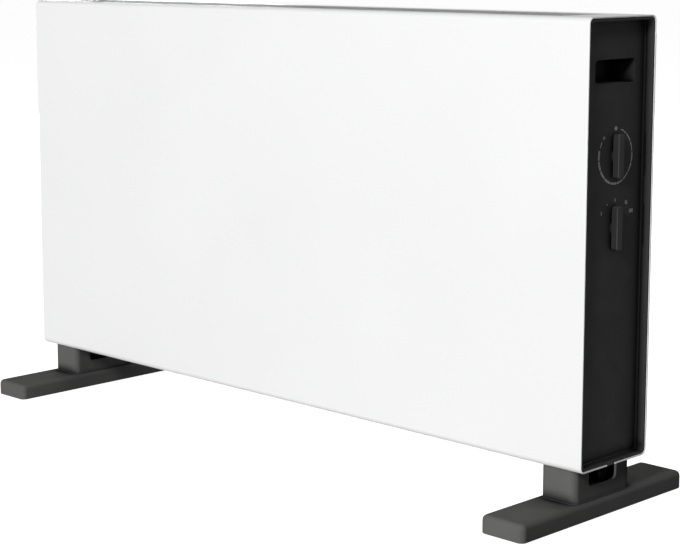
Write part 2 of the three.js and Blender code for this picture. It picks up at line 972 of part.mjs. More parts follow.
function polePlaces() {
  return copies(poleCount, polePitch).map((across) => blockOffset + across);
}

function terminalBlock() {
  const x = blockX + blockDepth / 2;
  const body = block(
    blockX,
    blockX + blockDepth,
    blockOffset - blockWidth / 2,
    blockOffset + blockWidth / 2,
    blockBottom,
    blockTop,
  );
  const poles = polePlaces().map((y) => block(
    x - poleSize / 2,
    x + poleSize / 2,
    y - poleSize / 2,
    y + poleSize / 2,
    blockTop - poleDepth,
    blockTop + 1,
  ));
  return piece("terminal_block", cut(body, poles), finishes.lightPlastic);
}

function cableGland() {
  const face = halfDepth + partGap;
  const flangeEnd = face + glandFlangeLength;
  const noseEnd = flangeEnd + glandNoseLength;
  const inner = halfDepth - sheetWall - glandBarrelLength;
  const round = (radius, from, to) => rod("y", radius, from, to, glandX, glandZ, 18);
  const body = join([
    round(glandBarrel, inner, face + 1),
    round(glandFlange, face, flangeEnd),
    round(glandNose, flangeEnd - 1, noseEnd),
  ]);
  const bore = round(glandBore, inner - 1, noseEnd + 1);
  return piece("cable_gland", body.subtract(bore), finishes.blackPlastic);
}

function glandNut() {
  const face = halfDepth - sheetWall - partGap;
  const back = face - glandNutLength;
  const hexagon = rod("y", glandNutRadius, back, face, glandX, glandZ, 6);
  const bore = rod("y", glandBarrel + partGap, back - 1, face + 1, glandX, glandZ, 18);
  return piece("gland_nut", hexagon.subtract(bore), finishes.blackPlastic);
}

// Wiring

function wire(name, points, look) {
  const path = new THREE.CatmullRomCurve3(points.map((point) => new THREE.Vector3(...point)));
  const section = new THREE.Shape();
  section.absarc(0, 0, wireRadius, 0, 2 * Math.PI);
  const geometry = new THREE.ExtrudeGeometry(section, {
    steps: Math.max(wireSteps, Math.ceil(path.getLength() / wireStep)),
    curveSegments: 3,
    bevelEnabled: false,
    extrudePath: path,
  });
  return piece(name, solid(geometry), look);
}

// Each of these gives the wire's end and a point straight out from it, so the end stays square.
function fromPole(index) {
  const place = [blockX + blockDepth / 2, polePlaces()[index]];
  return [[...place, blockTop - poleDepth + 2 * partGap], [...place, blockTop + wireRadius]];
}

function fromTag(size, z, [across, up]) {
  const x = controlFaceX - size.length - tagLength - partGap;
  const place = [controlOffset + across, z + up];
  return [[x, ...place], [x - wireLead, ...place]];
}

function fromCutout(index) {
  const face = bracketX + bracketWall + partGap;
  const x = face + cutoutFlangeLength + cutoutBody + tagLength + partGap;
  const place = [elementOffset + cutoutTagOffsets[index], cutoutZ];
  return [[x, ...place], [x + wireLead, ...place]];
}

function fromPin(side, z) {
  const x = pinEnd + partGap;
  return [[side * x, elementOffset, z], [side * (x + wireLead), elementOffset, z]];
}

function wiring() {
  const wireX = bracketX + bracketWall + blockDepth / 2;
  const outerX = pinEnd + wireLead + wireBow;
  const floorZ = caseBottom + sheetWall + floorClearance;
  const pinSide = elementOffset + pinRadius + partGap;
  const linkX = -(rodEnd + pinEnd) / 2;
  const linkMiddle = (lowerElementZ + upperElementZ) / 2;
  const earthX = bracketX + bracketWall + partGap;
  return [
    wire("live_wire", [
      ...fromPole(2),
      [wireX, rearLane, blockTop + wireDrop],
      [wireX + wireBow, rearLane, upperElementZ],
      [wireX, rearLane, selectorZ + wireTurn],
      [wireX - wireBow, middleLane, thermostatZ - wireDrop],
      ...fromTag(thermostatSize, thermostatZ, thermostatTags[1]).reverse(),
    ], finishes.redWire),
    wire("control_link_wire", [
      ...fromTag(thermostatSize, thermostatZ, thermostatTags[0]),
      [wireX - 2 * wireBow, 0, thermostatZ - wireDrop],
      ...fromTag(selectorSize, selectorZ, selectorTags[2]).reverse(),
    ], finishes.redWire),
    wire("lower_element_wire", [
      ...fromTag(selectorSize, selectorZ, selectorTags[0]),
      [wireX - wireBow, frontLane, selectorZ - wireDip],
      [wireX + 2 * wireBow, frontLane - 2 * wireBow, cutoutZ - wireTurn],
      [wireX + 5 * wireBow, frontLane, lowerElementZ + wireDrop],
      [outerX, frontLane / 2, lowerElementZ + wireBow],
      ...fromPin(1, lowerElementZ).reverse(),
    ], finishes.redWire),
    wire("upper_element_wire", [
      ...fromTag(selectorSize, selectorZ, selectorTags[1]),
      [wireX, middleLane, selectorZ - wireDip],
      [wireX + wireTurn, middleLane, cutoutZ + wireBow],
      [outerX, middleLane - wireBow, upperElementZ + wireTurn],
      [outerX, 2 * wireBow, upperElementZ + wireBow],
      ...fromPin(1, upperElementZ).reverse(),
    ], finishes.redWire),
    wire("neutral_wire", [
      ...fromPole(1),
      [wireX, middleLane, blockTop + wireDip],
      [wireX, middleLane, upperElementZ + wireBow],
      [wireX + wireTurn, middleLane - wireBow, cutoutZ - wireTurn],
      ...fromCutout(1).reverse(),
    ], finishes.blueWire),
    wire("return_wire", [
      ...fromCutout(0),
      [wireX + 4 * wireBow, floorLane, upperElementZ + wireBow],
      [wireX + 2 * wireBow, floorLane, lowerElementZ - wireTurn],
      [wireX, floorLane, floorZ + 2 * wireBow],
      [bracketX - wireDrop, floorLane, floorZ],
      [0, floorLane, floorZ],
      [wireDrop - bracketX, floorLane, floorZ],
      [-wireX, floorLane, floorZ + 2 * wireBow],
      [wireBow - outerX, floorLane / 2, lowerElementZ - wireDrop],
      [-outerX, 0, lowerElementZ - wireLead],
      ...fromPin(-1, lowerElementZ).reverse(),
    ], finishes.blueWire),
    wire("left_link_wire", [
      [linkX, pinSide, upperElementZ],
      [linkX, pinSide + wireLead, upperElementZ - wireRadius],
      [linkX, pinSide + 2 * wireBow, linkMiddle],
      [linkX, pinSide + wireLead, lowerElementZ + wireRadius],
      [linkX, pinSide, lowerElementZ],
    ], finishes.blueWire),
    wire("earth_wire", [
      ...fromPole(0),
      [wireX, 2 * wireBow, blockTop + wireLead],
      [wireX, -wireLead, blockTop],
      [earthX + wireLead, floorLane, blockTop - earthDrop],
      [earthX, floorLane, blockTop - earthDrop],
    ], finishes.greenWire),
  ];
}

// Feet

function postPlaces() {
  return copies(2, postSpacing);
}

function padPlaces() {
  return copies(2, barLength - 2 * padInset);
}

function foot(name, side) {
  const top = caseBottom - partGap;
  const barOutline = roundedRectangle(0, 0, barWidth, barLength, barCorner);
  const bar = prismAlongZ(barOutline, barBottom - barEdge, barTop, barEdge);
  const belowBottom = barBottom - 2 * barEdge;
  const below = block(-barWidth, barWidth, -barLength, barLength, belowBottom, barBottom);
  const outer = roundedRectangle(0, 0, pedestalWidth, pedestalDepth, pedestalCorner);
  const inner = roundedRectangle(
    0,
    0,
    pedestalWidth - 2 * pedestalWall,
    pedestalDepth - 2 * pedestalWall,
    pedestalCorner - pedestalWall,
  );
  const pedestal = prismAlongZ(outer, barTop - barEdge, top);
  const hollow = prismAlongZ(inner, barTop + pedestalFloor, top + 1);
  const posts = postPlaces().map((y) => rod("z", postRadius, barTop, top, 0, y));
  const notch = prismAlongX(
    roundedRectangle(0, caseBottom, notchWidth, 2 * notchDepth, notchCorner),
    -pedestalWidth,
    pedestalWidth,
  );
  const screwHoles = postPlaces().flatMap((y) => [
    rod("z", footScrew.shank + screwPlay, barBottom - 1, top + 1, 0, y, 12),
    rod("z", footScrew.head + 2 * screwPlay, barBottom - 1, barTop - footScrewSeat, 0, y),
  ]);
  const padSeats = padPlaces().map(
    (y) => rod("z", padRadius + partGap, barBottom - 1, barBottom + padDepth, 0, y, 20),
  );
  const pocketNear = pedestalDepth / 2 + barPocketGap;
  const pocketFar = barLength / 2 - padInset - padRadius - barPocketGap;
  const pocketHalf = barWidth / 2 - barPocketWall - barEdge;
  const pockets = [-1, 1].map((end) => block(
    -pocketHalf,
    pocketHalf,
    end * pocketNear,
    end * pocketFar,
    barBottom - 1,
    barTop - barPocketTop,
  ));
  const shell = cut(join([bar, pedestal]), [below, hollow, notch]);
  const body = cut(join([shell, ...posts]), [...screwHoles, ...padSeats, ...pockets]);
  const mesh = piece(name, body, finishes.footPlastic);
  mesh.position.set(side * footX, 0, 0);
  return mesh;
}

function rubberPad(name, side, y) {
  const top = padProud + padDepth - partGap;
  const pad = piece(name, rod("z", padRadius, 0, top, 0, 0, 20), finishes.rubber);
  pad.position.set(side * footX, y, 0);
  return pad;
}

// The threaded strip inside the case that the foot's two screws reach
function nutStrip(name, side) {
  const bottom = sheetWall + partGap;
  const half = postSpacing / 2 + stripEnd;
  const strip = block(-stripWidth / 2, stripWidth / 2, -half, half, bottom, bottom + stripWall);
  const holes = postPlaces().map((y) => rod(
    "z",
    footScrew.shank + screwPlay,
    bottom - 1,
    bottom + stripWall + 1,
    0,
    y,
    12,
  ));
  const mesh = piece(name, cut(strip, holes), finishes.zincSteel);
  mesh.position.set(side * footX, 0, caseBottom);
  return mesh;
}

// Screws

// The head's underside is at the origin, and the head points along +Z until it is turned.
function screwBody({ head, headHeight, shank, length }) {
  const profile = [
    [0, -length],
    [shank, -length],
    [shank, 0],
    [head, 0],
    [head, headHeight * 0.55],
    [head * 0.6, headHeight],
    [0, headHeight],
  ].map(([radius, height]) => new THREE.Vector2(radius, height));
  const geometry = new THREE.LatheGeometry(profile, 8);
  geometry.rotateX(Math.PI / 2);
  return solid(geometry);
}

function screw(name, size, look, place, turnX, turnY) {
  const mesh = piece(name, screwBody(size), look);
  mesh.position.set(...place);
  mesh.rotation.set(turnX, turnY, 0);
  return mesh;
}

function rearScrews() {
  const seat = halfDepth + partGap;
  const row = (prefix, places, size) => places.map(([x, z], index) => screw(
    `${prefix}_${index + 1}`,
    size,
    finishes.darkScrew,
    [x, seat, z],
    -Math.PI / 2,
    0,
  ));
  return [
    ...row("cover_screw", coverScrewPlaces(), coverScrew),
    ...row("end_cap_screw", capScrewPlaces(), capScrew),
    ...row("bracket_screw", bracketScrewPlaces(), coverScrew),
  ];
}

function plateScrews() {
  return plateScrewHeights().map((z, index) => screw(
    `control_plate_screw_${index + 1}`,
    plateScrew,
    finishes.darkScrew,
    [plateX - partGap, controlOffset, z],
    0,
    -Math.PI / 2,
  ));
}

function footParts(label, side) {
  const seat = barTop - footScrewSeat - partGap;
  const screws = postPlaces().map((y, index) => screw(
    `${label}_foot_screw_${index + 1}`,
    footScrew,
    finishes.darkScrew,
    [side * footX, y, seat],
    Math.PI,
    0,
  ));
  const pads = padPlaces().map((y, index) => rubberPad(`${label}_rubber_pad_${index + 1}`, side, y));
  const group = new THREE.Group();
  group.add(foot(`${label}_foot`, side), nutStrip(`${label}_nut_strip`, side), ...screws, ...pads);
  return group;
}

// Assembly

function casingGroup() {
  const group = new THREE.Group();
  group.add(
    frontCasing(),
    rearCover(),
    outletGrille(),
    endCap("right_end_cap", 1, true),
    endCap("left_end_cap", -1, false),
    ...rearScrews(),
  );
  return group;
}

function controlGroup() {
  const group = new THREE.Group();
  group.add(
    knob("thermostat_knob", thermostatZ),
    knob("selector_knob", selectorZ),
    spindle("thermostat_spindle", thermostatZ),
    spindle("selector_spindle", selectorZ),
    controlBody("thermostat_body", thermostatSize, thermostatZ, thermostatTags, finishes.lightPlastic),
    controlBody("selector_switch_body", selectorSize, selectorZ, selectorTags, finishes.blackPlastic),
    collarNut("thermostat_nut", thermostatZ),
    collarNut("selector_nut", selectorZ),
    controlPlate(),
    ...plateScrews(),
  );
  return group;
}

function heatingGroup() {
  const group = new THREE.Group();
  group.add(
    heatingElement("lower_heating_element", lowerElementZ),
    heatingElement("upper_heating_element", upperElementZ),
    ceramicBush("lower_left_bush", -1, lowerElementZ),
    ceramicBush("lower_right_bush", 1, lowerElementZ),
    ceramicBush("upper_left_bush", -1, upperElementZ),
    ceramicBush("upper_right_bush", 1, upperElementZ),
    elementBracket("left_element_bracket", -1, false),
    elementBracket("right_element_bracket", 1, true),
    heatShield(),
    thermalCutout(),
  );
  return group;
}

function supplyGroup() {
  const group = new THREE.Group();
  group.add(terminalBlock(), cableGland(), glandNut(), ...wiring());
  return group;
}

const heater = new THREE.Group();
heater.add(
  casingGroup(),
  controlGroup(),
  heatingGroup(),
  supplyGroup(),
  footParts("left", -1),
  footParts("right", 1),
);

export default heater;
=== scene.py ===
import json
import math

import bmesh
import bpy
from mathutils import Matrix, Vector

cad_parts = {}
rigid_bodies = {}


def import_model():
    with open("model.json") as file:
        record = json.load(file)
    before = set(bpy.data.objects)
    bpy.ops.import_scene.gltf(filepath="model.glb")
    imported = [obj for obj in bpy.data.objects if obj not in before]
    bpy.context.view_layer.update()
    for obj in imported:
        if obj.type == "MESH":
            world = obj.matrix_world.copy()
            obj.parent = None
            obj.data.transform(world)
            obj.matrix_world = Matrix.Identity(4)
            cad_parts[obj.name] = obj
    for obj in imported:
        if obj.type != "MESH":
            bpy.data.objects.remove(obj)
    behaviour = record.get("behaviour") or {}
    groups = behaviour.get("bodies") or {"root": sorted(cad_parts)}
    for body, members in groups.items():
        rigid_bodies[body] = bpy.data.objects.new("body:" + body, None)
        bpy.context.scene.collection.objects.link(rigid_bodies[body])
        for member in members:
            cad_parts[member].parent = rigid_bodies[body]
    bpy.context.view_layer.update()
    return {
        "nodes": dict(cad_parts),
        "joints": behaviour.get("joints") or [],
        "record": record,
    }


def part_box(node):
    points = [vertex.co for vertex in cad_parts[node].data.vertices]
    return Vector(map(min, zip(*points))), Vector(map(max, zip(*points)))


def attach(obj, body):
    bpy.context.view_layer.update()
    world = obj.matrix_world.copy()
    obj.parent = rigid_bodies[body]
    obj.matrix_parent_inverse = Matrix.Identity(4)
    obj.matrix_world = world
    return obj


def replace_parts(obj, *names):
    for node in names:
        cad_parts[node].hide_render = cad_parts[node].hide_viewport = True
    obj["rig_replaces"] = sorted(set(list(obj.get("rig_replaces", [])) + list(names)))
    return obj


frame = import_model()
nodes = frame["nodes"]
scene = bpy.context.scene
heaterBody = "heater_body"
print("frame loaded,", len(nodes), "pieces")


# camera, floor and lamps

photoCamera = {
    "place": (1.31526, -1.28244, 0.4975),
    "azimuth": 44.658,  # degrees, from the front panel towards the control end
    "elevation": 8.582,
    "lens": 96.11,
    "sensor": 36,
    "shift": -0.066,
}


def addCamera(settings):
    azimuth = math.radians(settings["azimuth"])
    elevation = math.radians(settings["elevation"])
    back = Vector((
        math.sin(azimuth) * math.cos(elevation),
        -math.cos(azimuth) * math.cos(elevation),
        math.sin(elevation),
    ))
    data = bpy.data.cameras.new("photoCamera")
    data.sensor_width = settings["sensor"]
    data.lens = settings["lens"]
    data.shift_y = settings["shift"]
    camera = bpy.data.objects.new("photoCamera", data)
    camera.location = settings["place"]
    camera.rotation_mode = "QUATERNION"
    camera.rotation_quaternion = (-back).to_track_quat("-Z", "Y")
    scene.collection.objects.link(camera)
    scene.camera = camera


studio = {
    "skyStrength": 0.05,
    "floorSize": 30.0,
    "floorGlow": 0.93,
    "floorShown": 0.9,
    "floorBounce": 0.12,
    "target": (0, 0, 0.25),
}

# share is the light that a surface facing the softbox gets, where 1 shows a colour as written
softboxes = {
    "frontSoftbox": {"towards": (0.103, -1, 0.03), "distance": 12.0, "size": 0.25, "share": 0.665},
    "gripSoftbox": {"towards": (0.35, -0.8, 0.47), "distance": 3.5, "size": 0.7, "share": 0.38},
    "sideSoftbox": {"towards": (0.57, 0.28, 0.77), "distance": 2.5, "size": 0.6, "share": 0.08},
    "rearSoftbox": {"towards": (-0.8, 0.58, 0.03), "distance": 4.0, "size": 1.0, "share": 0.9},
}


def grey(level):
    return (level, level, level, 1)


def shownRay(tree):
    # seen directly or in a gloss the studio is white, but it lights the heater only a little
    path = tree.nodes.new("ShaderNodeLightPath")
    first = tree.nodes.new("ShaderNodeMath")
    first.operation = "MAXIMUM"
    second = tree.nodes.new("ShaderNodeMath")
    second.operation = "MAXIMUM"
    tree.links.new(path.outputs["Is Camera Ray"], first.inputs[0])
    tree.links.new(path.outputs["Is Glossy Ray"], first.inputs[1])
    tree.links.new(first.outputs[0], second.inputs[0])
    tree.links.new(path.outputs["Is Transmission Ray"], second.inputs[1])
    return second.outputs[0]


def addSky(settings):
    world = bpy.data.worlds.new("studioSky")
    world.use_nodes = True
    tree = world.node_tree
    tree.nodes.clear()
    sky = tree.nodes.new("ShaderNodeBackground")
    sky.inputs["Color"].default_value = grey(1)
    sky.inputs["Strength"].default_value = settings["skyStrength"]
    backdrop = tree.nodes.new("ShaderNodeBackground")
    backdrop.inputs["Color"].default_value = grey(1)
    mix = tree.nodes.new("ShaderNodeMixShader")
    output = tree.nodes.new("ShaderNodeOutputWorld")
    tree.links.new(shownRay(tree), mix.inputs["Fac"])
    tree.links.new(sky.outputs[0], mix.inputs[1])
    tree.links.new(backdrop.outputs[0], mix.inputs[2])
    tree.links.new(mix.outputs[0], output.inputs["Surface"])
    scene.world = world


def addFloor(settings):
    half = settings["floorSize"] / 2
    mesh = bpy.data.meshes.new("studioFloor")
    corners = [(-half, -half, 0), (half, -half, 0), (half, half, 0), (-half, half, 0)]
    mesh.from_pydata(corners, [], [(0, 1, 2, 3)])
    floor = bpy.data.objects.new("studioFloor", mesh)
    scene.collection.objects.link(floor)
    material = bpy.data.materials.new("paleFloor")
    material.use_nodes = True
    tree = material.node_tree
    tree.nodes.clear()
    glow = tree.nodes.new("ShaderNodeEmission")
    glow.inputs["Strength"].default_value = settings["floorGlow"]
    shown = tree.nodes.new("ShaderNodeBsdfDiffuse")
    shown.inputs["Color"].default_value = grey(settings["floorShown"])
    bounce = tree.nodes.new("ShaderNodeBsdfDiffuse")
    bounce.inputs["Color"].default_value = grey(settings["floorBounce"])
    both = tree.nodes.new("ShaderNodeAddShader")
    mix = tree.nodes.new("ShaderNodeMixShader")
    output = tree.nodes.new("ShaderNodeOutputMaterial")
    tree.links.new(glow.outputs[0], both.inputs[0])
    tree.links.new(shown.outputs[0], both.inputs[1])
    tree.links.new(shownRay(tree), mix.inputs["Fac"])
    tree.links.new(bounce.outputs[0], mix.inputs[1])
    tree.links.new(both.outputs[0], mix.inputs[2])
    tree.links.new(mix.outputs[0], output.inputs["Surface"])
    mesh.materials.append(material)


def addSoftbox(name, settings, target):
    towards = Vector(settings["towards"]).normalized()
    data = bpy.data.lights.new(name, "AREA")
    data.size = settings["size"]
    data.energy = settings["share"] * (math.pi * settings["distance"]) ** 2
    lamp = bpy.data.objects.new(name, data)
    lamp.location = Vector(target) + towards * settings["distance"]
    lamp.rotation_mode = "QUATERNION"
    lamp.rotation_quaternion = towards.to_track_quat("Z", "Y")
    lamp.visible_camera = False
    scene.collection.objects.link(lamp)


addCamera(photoCamera)
addSky(studio)
addFloor(studio)
for softboxName, softbox in softboxes.items():
    addSoftbox(softboxName, softbox, studio["target"])
scene.view_settings.view_transform = "Standard"
print("studio ready")


# finishes

def startMaterial(name, color, roughness, metallic=0.0, specular=0.5):
    material = bpy.data.materials.new(name)
    material.use_nodes = True
    tree = material.node_tree
    shader = tree.nodes["Principled BSDF"]
    shader.inputs["Base Color"].default_value = (*color, 1)
    shader.inputs["Roughness"].default_value = roughness
    shader.inputs["Metallic"].default_value = metallic
    shader.inputs["Specular IOR Level"].default_value = specular
    place = tree.nodes.new("ShaderNodeTexCoord").outputs["Object"]
    return material, tree, shader, place


noiseReach = (0.25, 0.75)  # most of a noise lies between these
tintReach = (0.3, 0.7)


def noise(tree, place, scale, detail=3.0, stretch=None):
    if stretch:
        mapping = tree.nodes.new("ShaderNodeMapping")
        mapping.inputs["Scale"].default_value = stretch
        tree.links.new(place, mapping.inputs["Vector"])
        place = mapping.outputs["Vector"]
    texture = tree.nodes.new("ShaderNodeTexNoise")
    texture.inputs["Scale"].default_value = scale
    texture.inputs["Detail"].default_value = detail
    tree.links.new(place, texture.inputs["Vector"])
    return texture.outputs["Fac"]


def spread(tree, value, low, high):
    mapRange = tree.nodes.new("ShaderNodeMapRange")
    mapRange.inputs["From Min"].default_value = noiseReach[0]
    mapRange.inputs["From Max"].default_value = noiseReach[1]
    mapRange.inputs["To Min"].default_value = low
    mapRange.inputs["To Max"].default_value = high
    tree.links.new(value, mapRange.inputs["Value"])
    return mapRange.outputs["Result"]


def shadeOf(color, factor):
    return tuple(min(1.0, channel * factor) for channel in color)


def tint(tree, value, color, tone):
    ramp = tree.nodes.new("ShaderNodeValToRGB")
    for element, position, factor in zip(ramp.color_ramp.elements, tintReach, tone):
        element.position = position
        element.color = (*shadeOf(color, factor), 1)
    tree.links.new(value, ramp.inputs["Fac"])
    return ramp.outputs["Color"]


def colorAndGloss(tree, shader, color, roughness):
    tree.links.new(color, shader.inputs["Base Color"])
    tree.links.new(roughness, shader.inputs["Roughness"])


def relief(tree, shader, value, strength, depth):
    bump = tree.nodes.new("ShaderNodeBump")
    bump.inputs["Strength"].default_value = strength
    bump.inputs["Distance"].default_value = depth
    tree.links.new(value, bump.inputs["Height"])
    tree.links.new(bump.outputs["Normal"], shader.inputs["Normal"])


powderCoat = {
    "color": (0.86, 0.862, 0.865),
    "tone": (0.985, 1.01),
    "cloudScale": 6,
    "roughness": (0.4, 0.48),
    "patchScale": 45,
    "peelScale": 700,
    "peelStrength": 0.12,
    "peelDepth": 0.00004,
}


def whitePowderCoat(settings):
    material, tree, shader, place = startMaterial("whitePowderCoat", settings["color"], roughness=0.4)
    cloud = noise(tree, place, settings["cloudScale"], detail=2)
    patches = noise(tree, place, settings["patchScale"])
    color = tint(tree, cloud, settings["color"], settings["tone"])
    colorAndGloss(tree, shader, color, spread(tree, patches, *settings["roughness"]))
    peel = noise(tree, place, settings["peelScale"], detail=2)
    relief(tree, shader, peel, settings["peelStrength"], settings["peelDepth"])
    return material


# painted shade: a corner's colour starts to darken where it is this open and is darkest where it is this
# closed
paintedShadeSettings = {"open": 0.93, "closed": 0.54, "darkest": 0.04, "samples": 12}


def paintedCreaseShade(tree, color, reach, ownShape):
    # painted shade: the colour of a moulding's inner corners is darkened by an ambient occlusion mask
    corner = tree.nodes.new("ShaderNodeAmbientOcclusion")
    corner.samples = paintedShadeSettings["samples"]
    corner.only_local = ownShape
    corner.inputs["Distance"].default_value = reach
    strength = tree.nodes.new("ShaderNodeMapRange")
    strength.inputs["From Min"].default_value = paintedShadeSettings["closed"]
    strength.inputs["From Max"].default_value = paintedShadeSettings["open"]
    strength.inputs["To Min"].default_value = paintedShadeSettings["darkest"]
    scaled = tree.nodes.new("ShaderNodeVectorMath")
    scaled.operation = "SCALE"
    tree.links.new(corner.outputs["AO"], strength.inputs["Value"])
    tree.links.new(color, scaled.inputs[0])
    tree.links.new(strength.outputs["Result"], scaled.inputs["Scale"])
    return scaled.outputs["Vector"]


mouldSurface = {"tone": (0.92, 1.08), "cloudScale": 22, "patchScale": 60, "grainStrength": 0.35}
mouldings = {
    "blackCapPlastic": {
        "color": (0.0395, 0.041, 0.0395),
        "roughness": (0.5, 0.62),
        "specular": 0.058,
        "grainScale": 2600,
        "grainDepth": 0.00005,
        # painted shade darkens the colour of the cap's inner corners within this reach
        "paintedShadeReach": 0.013,
        "paintedShadeOwnShape": False,
    },
    "knobPlastic": {
        "color": (0.068, 0.068, 0.068),
        "roughness": (0.45, 0.55),
        "specular": 0.03,
        "grainScale": 3400,
        "grainDepth": 0.00002,
    },
    "footPlastic": {
        "color": (0.121, 0.121, 0.118),
        "roughness": (0.84, 0.94),
        "specular": 0.0,
        "grainScale": 2400,
        "grainDepth": 0.00005,
        # painted shade darkens the colour of the foot's inner corners within this reach
        "paintedShadeReach": 0.014,
        "paintedShadeOwnShape": True,
    },
    "grillePlastic": {
        "color": (0.4, 0.4, 0.402),
        "roughness": (0.5, 0.6),
        "specular": 0.3,
        "grainScale": 2800,
        "grainDepth": 0.00003,
    },
    "switchPlastic": {
        "color": (0.03, 0.03, 0.031),
        "roughness": (0.4, 0.55),
        "specular": 0.45,
        "grainScale": 2600,
        "grainDepth": 0.00003,
    },
    "paleHousingPlastic": {
        "color": (0.62, 0.6, 0.54),
        "roughness": (0.4, 0.52),
        "specular": 0.5,
        "grainScale": 2600,
        "grainDepth": 0.00003,
    },
}


def mouldedPlastic(name):
    settings = mouldings[name]
    gloss = {"roughness": 0.5, "specular": settings["specular"]}
    material, tree, shader, place = startMaterial(name, settings["color"], **gloss)
    cloud = noise(tree, place, mouldSurface["cloudScale"], detail=4)
    patches = noise(tree, place, mouldSurface["patchScale"])
    color = tint(tree, cloud, settings["color"], mouldSurface["tone"])
    # painted shade: inner corners darkened in the base colour
    if "paintedShadeReach" in settings:
        color = paintedCreaseShade(tree, color, settings["paintedShadeReach"], settings["paintedShadeOwnShape"])
    colorAndGloss(tree, shader, color, spread(tree, patches, *settings["roughness"]))
    grain = tree.nodes.new("ShaderNodeTexVoronoi")
    grain.inputs["Scale"].default_value = settings["grainScale"]
    tree.links.new(place, grain.inputs["Vector"])
    relief(tree, shader, grain.outputs["Distance"], mouldSurface["grainStrength"], settings["grainDepth"])
    return material


metalSurface = {"streakScale": 60, "scratchScale": 900, "scratchStrength": 0.1, "scratchDepth": 0.00003}
metals = {
    "zincPlate": {
        "color": (0.55, 0.56, 0.57),
        "tone": (0.86, 1.05),
        "roughness": (0.26, 0.42),
        "stretch": (1, 1, 18),
    },
    "blackenedSteel": {
        "color": (0.07, 0.07, 0.072),
        "tone": (0.8, 1.15),
        "roughness": (0.3, 0.45),
        "stretch": (1, 1, 1),
    },
    "finAluminium": {
        "color": (0.68, 0.69, 0.7),
        "tone": (0.9, 1.04),
        "roughness": (0.28, 0.4),
        "stretch": (1, 22, 1),
    },
}


def metalFinish(name):
    settings = metals[name]
    material, tree, shader, place = startMaterial(name, settings["color"], roughness=0.35, metallic=1.0)
    streaks = noise(tree, place, metalSurface["streakScale"], 4, settings["stretch"])
    color = tint(tree, streaks, settings["color"], settings["tone"])
    colorAndGloss(tree, shader, color, spread(tree, streaks, *settings["roughness"]))
    scratches = noise(tree, place, metalSurface["scratchScale"], 2, settings["stretch"])
    relief(tree, shader, scratches, metalSurface["scratchStrength"], metalSurface["scratchDepth"])
    return material


rubber = {
    "color": (0.014, 0.014, 0.014),
    "tone": (1, 1.6),
    "roughness": (0.78, 0.92),
    "dustScale": 180,
    "pitScale": 1500,
    "pitDepth": 0.00006,
}


def padRubber(settings):
    gloss = {"roughness": 0.85, "specular": 0.3}
    material, tree, shader, place = startMaterial("padRubber", settings["color"], **gloss)
    dust = noise(tree, place, settings["dustScale"], detail=5)
    color = tint(tree, dust, settings["color"], settings["tone"])
    colorAndGloss(tree, shader, color, spread(tree, dust, *settings["roughness"]))
    pits = noise(tree, place, settings["pitScale"], detail=3)
    relief(tree, shader, pits, strength=0.3, depth=settings["pitDepth"])
    return material


ceramic = {"color": (0.74, 0.69, 0.58), "tone": (0.86, 1.05), "roughness": (0.5, 0.68), "speckScale": 700}


def firedCeramic(settings):
    material, tree, shader, place = startMaterial("firedCeramic", settings["color"], roughness=0.6)
    specks = noise(tree, place, settings["speckScale"], detail=4)
    color = tint(tree, specks, settings["color"], settings["tone"])
    colorAndGloss(tree, shader, color, spread(tree, specks, *settings["roughness"]))
    relief(tree, shader, specks, strength=0.25, depth=0.00006)
    return material


jacket = {"tone": (0.85, 1.1), "roughness": (0.42, 0.58), "scuffScale": 240}
jacketColors = {
    "redJacket": (0.34, 0.03, 0.02),
    "blueJacket": (0.03, 0.08, 0.28),
    "greenJacket": (0.1, 0.27, 0.03),
}


def wireJacket(name):
    material, tree, shader, place = startMaterial(name, jacketColors[name], roughness=0.5)
    scuffs = noise(tree, place, jacket["scuffScale"], detail=4)
    color = tint(tree, scuffs, jacketColors[name], jacket["tone"])
    colorAndGloss(tree, shader, color, spread(tree, scuffs, *jacket["roughness"]))
    relief(tree, shader, scuffs, strength=0.1, depth=0.00004)
    return material


ink = {"color": (0.44, 0.445, 0.44), "tone": (0.8, 1.05), "roughness": (0.55, 0.7), "wearScale": 500}


def markInk(settings):
    material, tree, shader, place = startMaterial("markInk", settings["color"], roughness=0.6, specular=0.3)
    wear = noise(tree, place, settings["wearScale"], detail=4)
    color = tint(tree, wear, settings["color"], settings["tone"])
    colorAndGloss(tree, shader, color, spread(tree, wear, *settings["roughness"]))
    relief(tree, shader, wear, strength=0.1, depth=0.00002)
    return material


finishes = {
    "white_paint": whitePowderCoat(powderCoat),
    "rubber": padRubber(rubber),
    "ceramic": firedCeramic(ceramic),
    "black_plastic": mouldedPlastic("blackCapPlastic"),
    "knob_plastic": mouldedPlastic("knobPlastic"),
    "foot_plastic": mouldedPlastic("footPlastic"),
    "grille_plastic": mouldedPlastic("grillePlastic"),
    "light_plastic": mouldedPlastic("paleHousingPlastic"),
    "zinc_steel": metalFinish("zincPlate"),
    "screw_steel": metalFinish("blackenedSteel"),
    "aluminium": metalFinish("finAluminium"),
    "red_wire": wireJacket("redJacket"),
    "blue_wire": wireJacket("blueJacket"),
    "green_wire": wireJacket("greenJacket"),
}
switchFinish = mouldedPlastic("switchPlastic")
inkFinish = markInk(ink)
print("finishes ready,", len(bpy.data.materials))


# mesh tools: an outline lies in u and v and is stretched along w

cornerSteps = 8
edgeSteps = 4
cutReach = 0.003  # how far a cutting shape runs past the face that it opens
leastCorner = 0.00004
leastRadius = 0.00002
weldReach = 0.000001
sharpAngle = math.radians(34)


def toFrame(axis, u, v, w):
    if axis == "x":
        return Vector((w, u, v))
    if axis == "y":
        return Vector((v, w, u))
    return Vector((u, v, w))


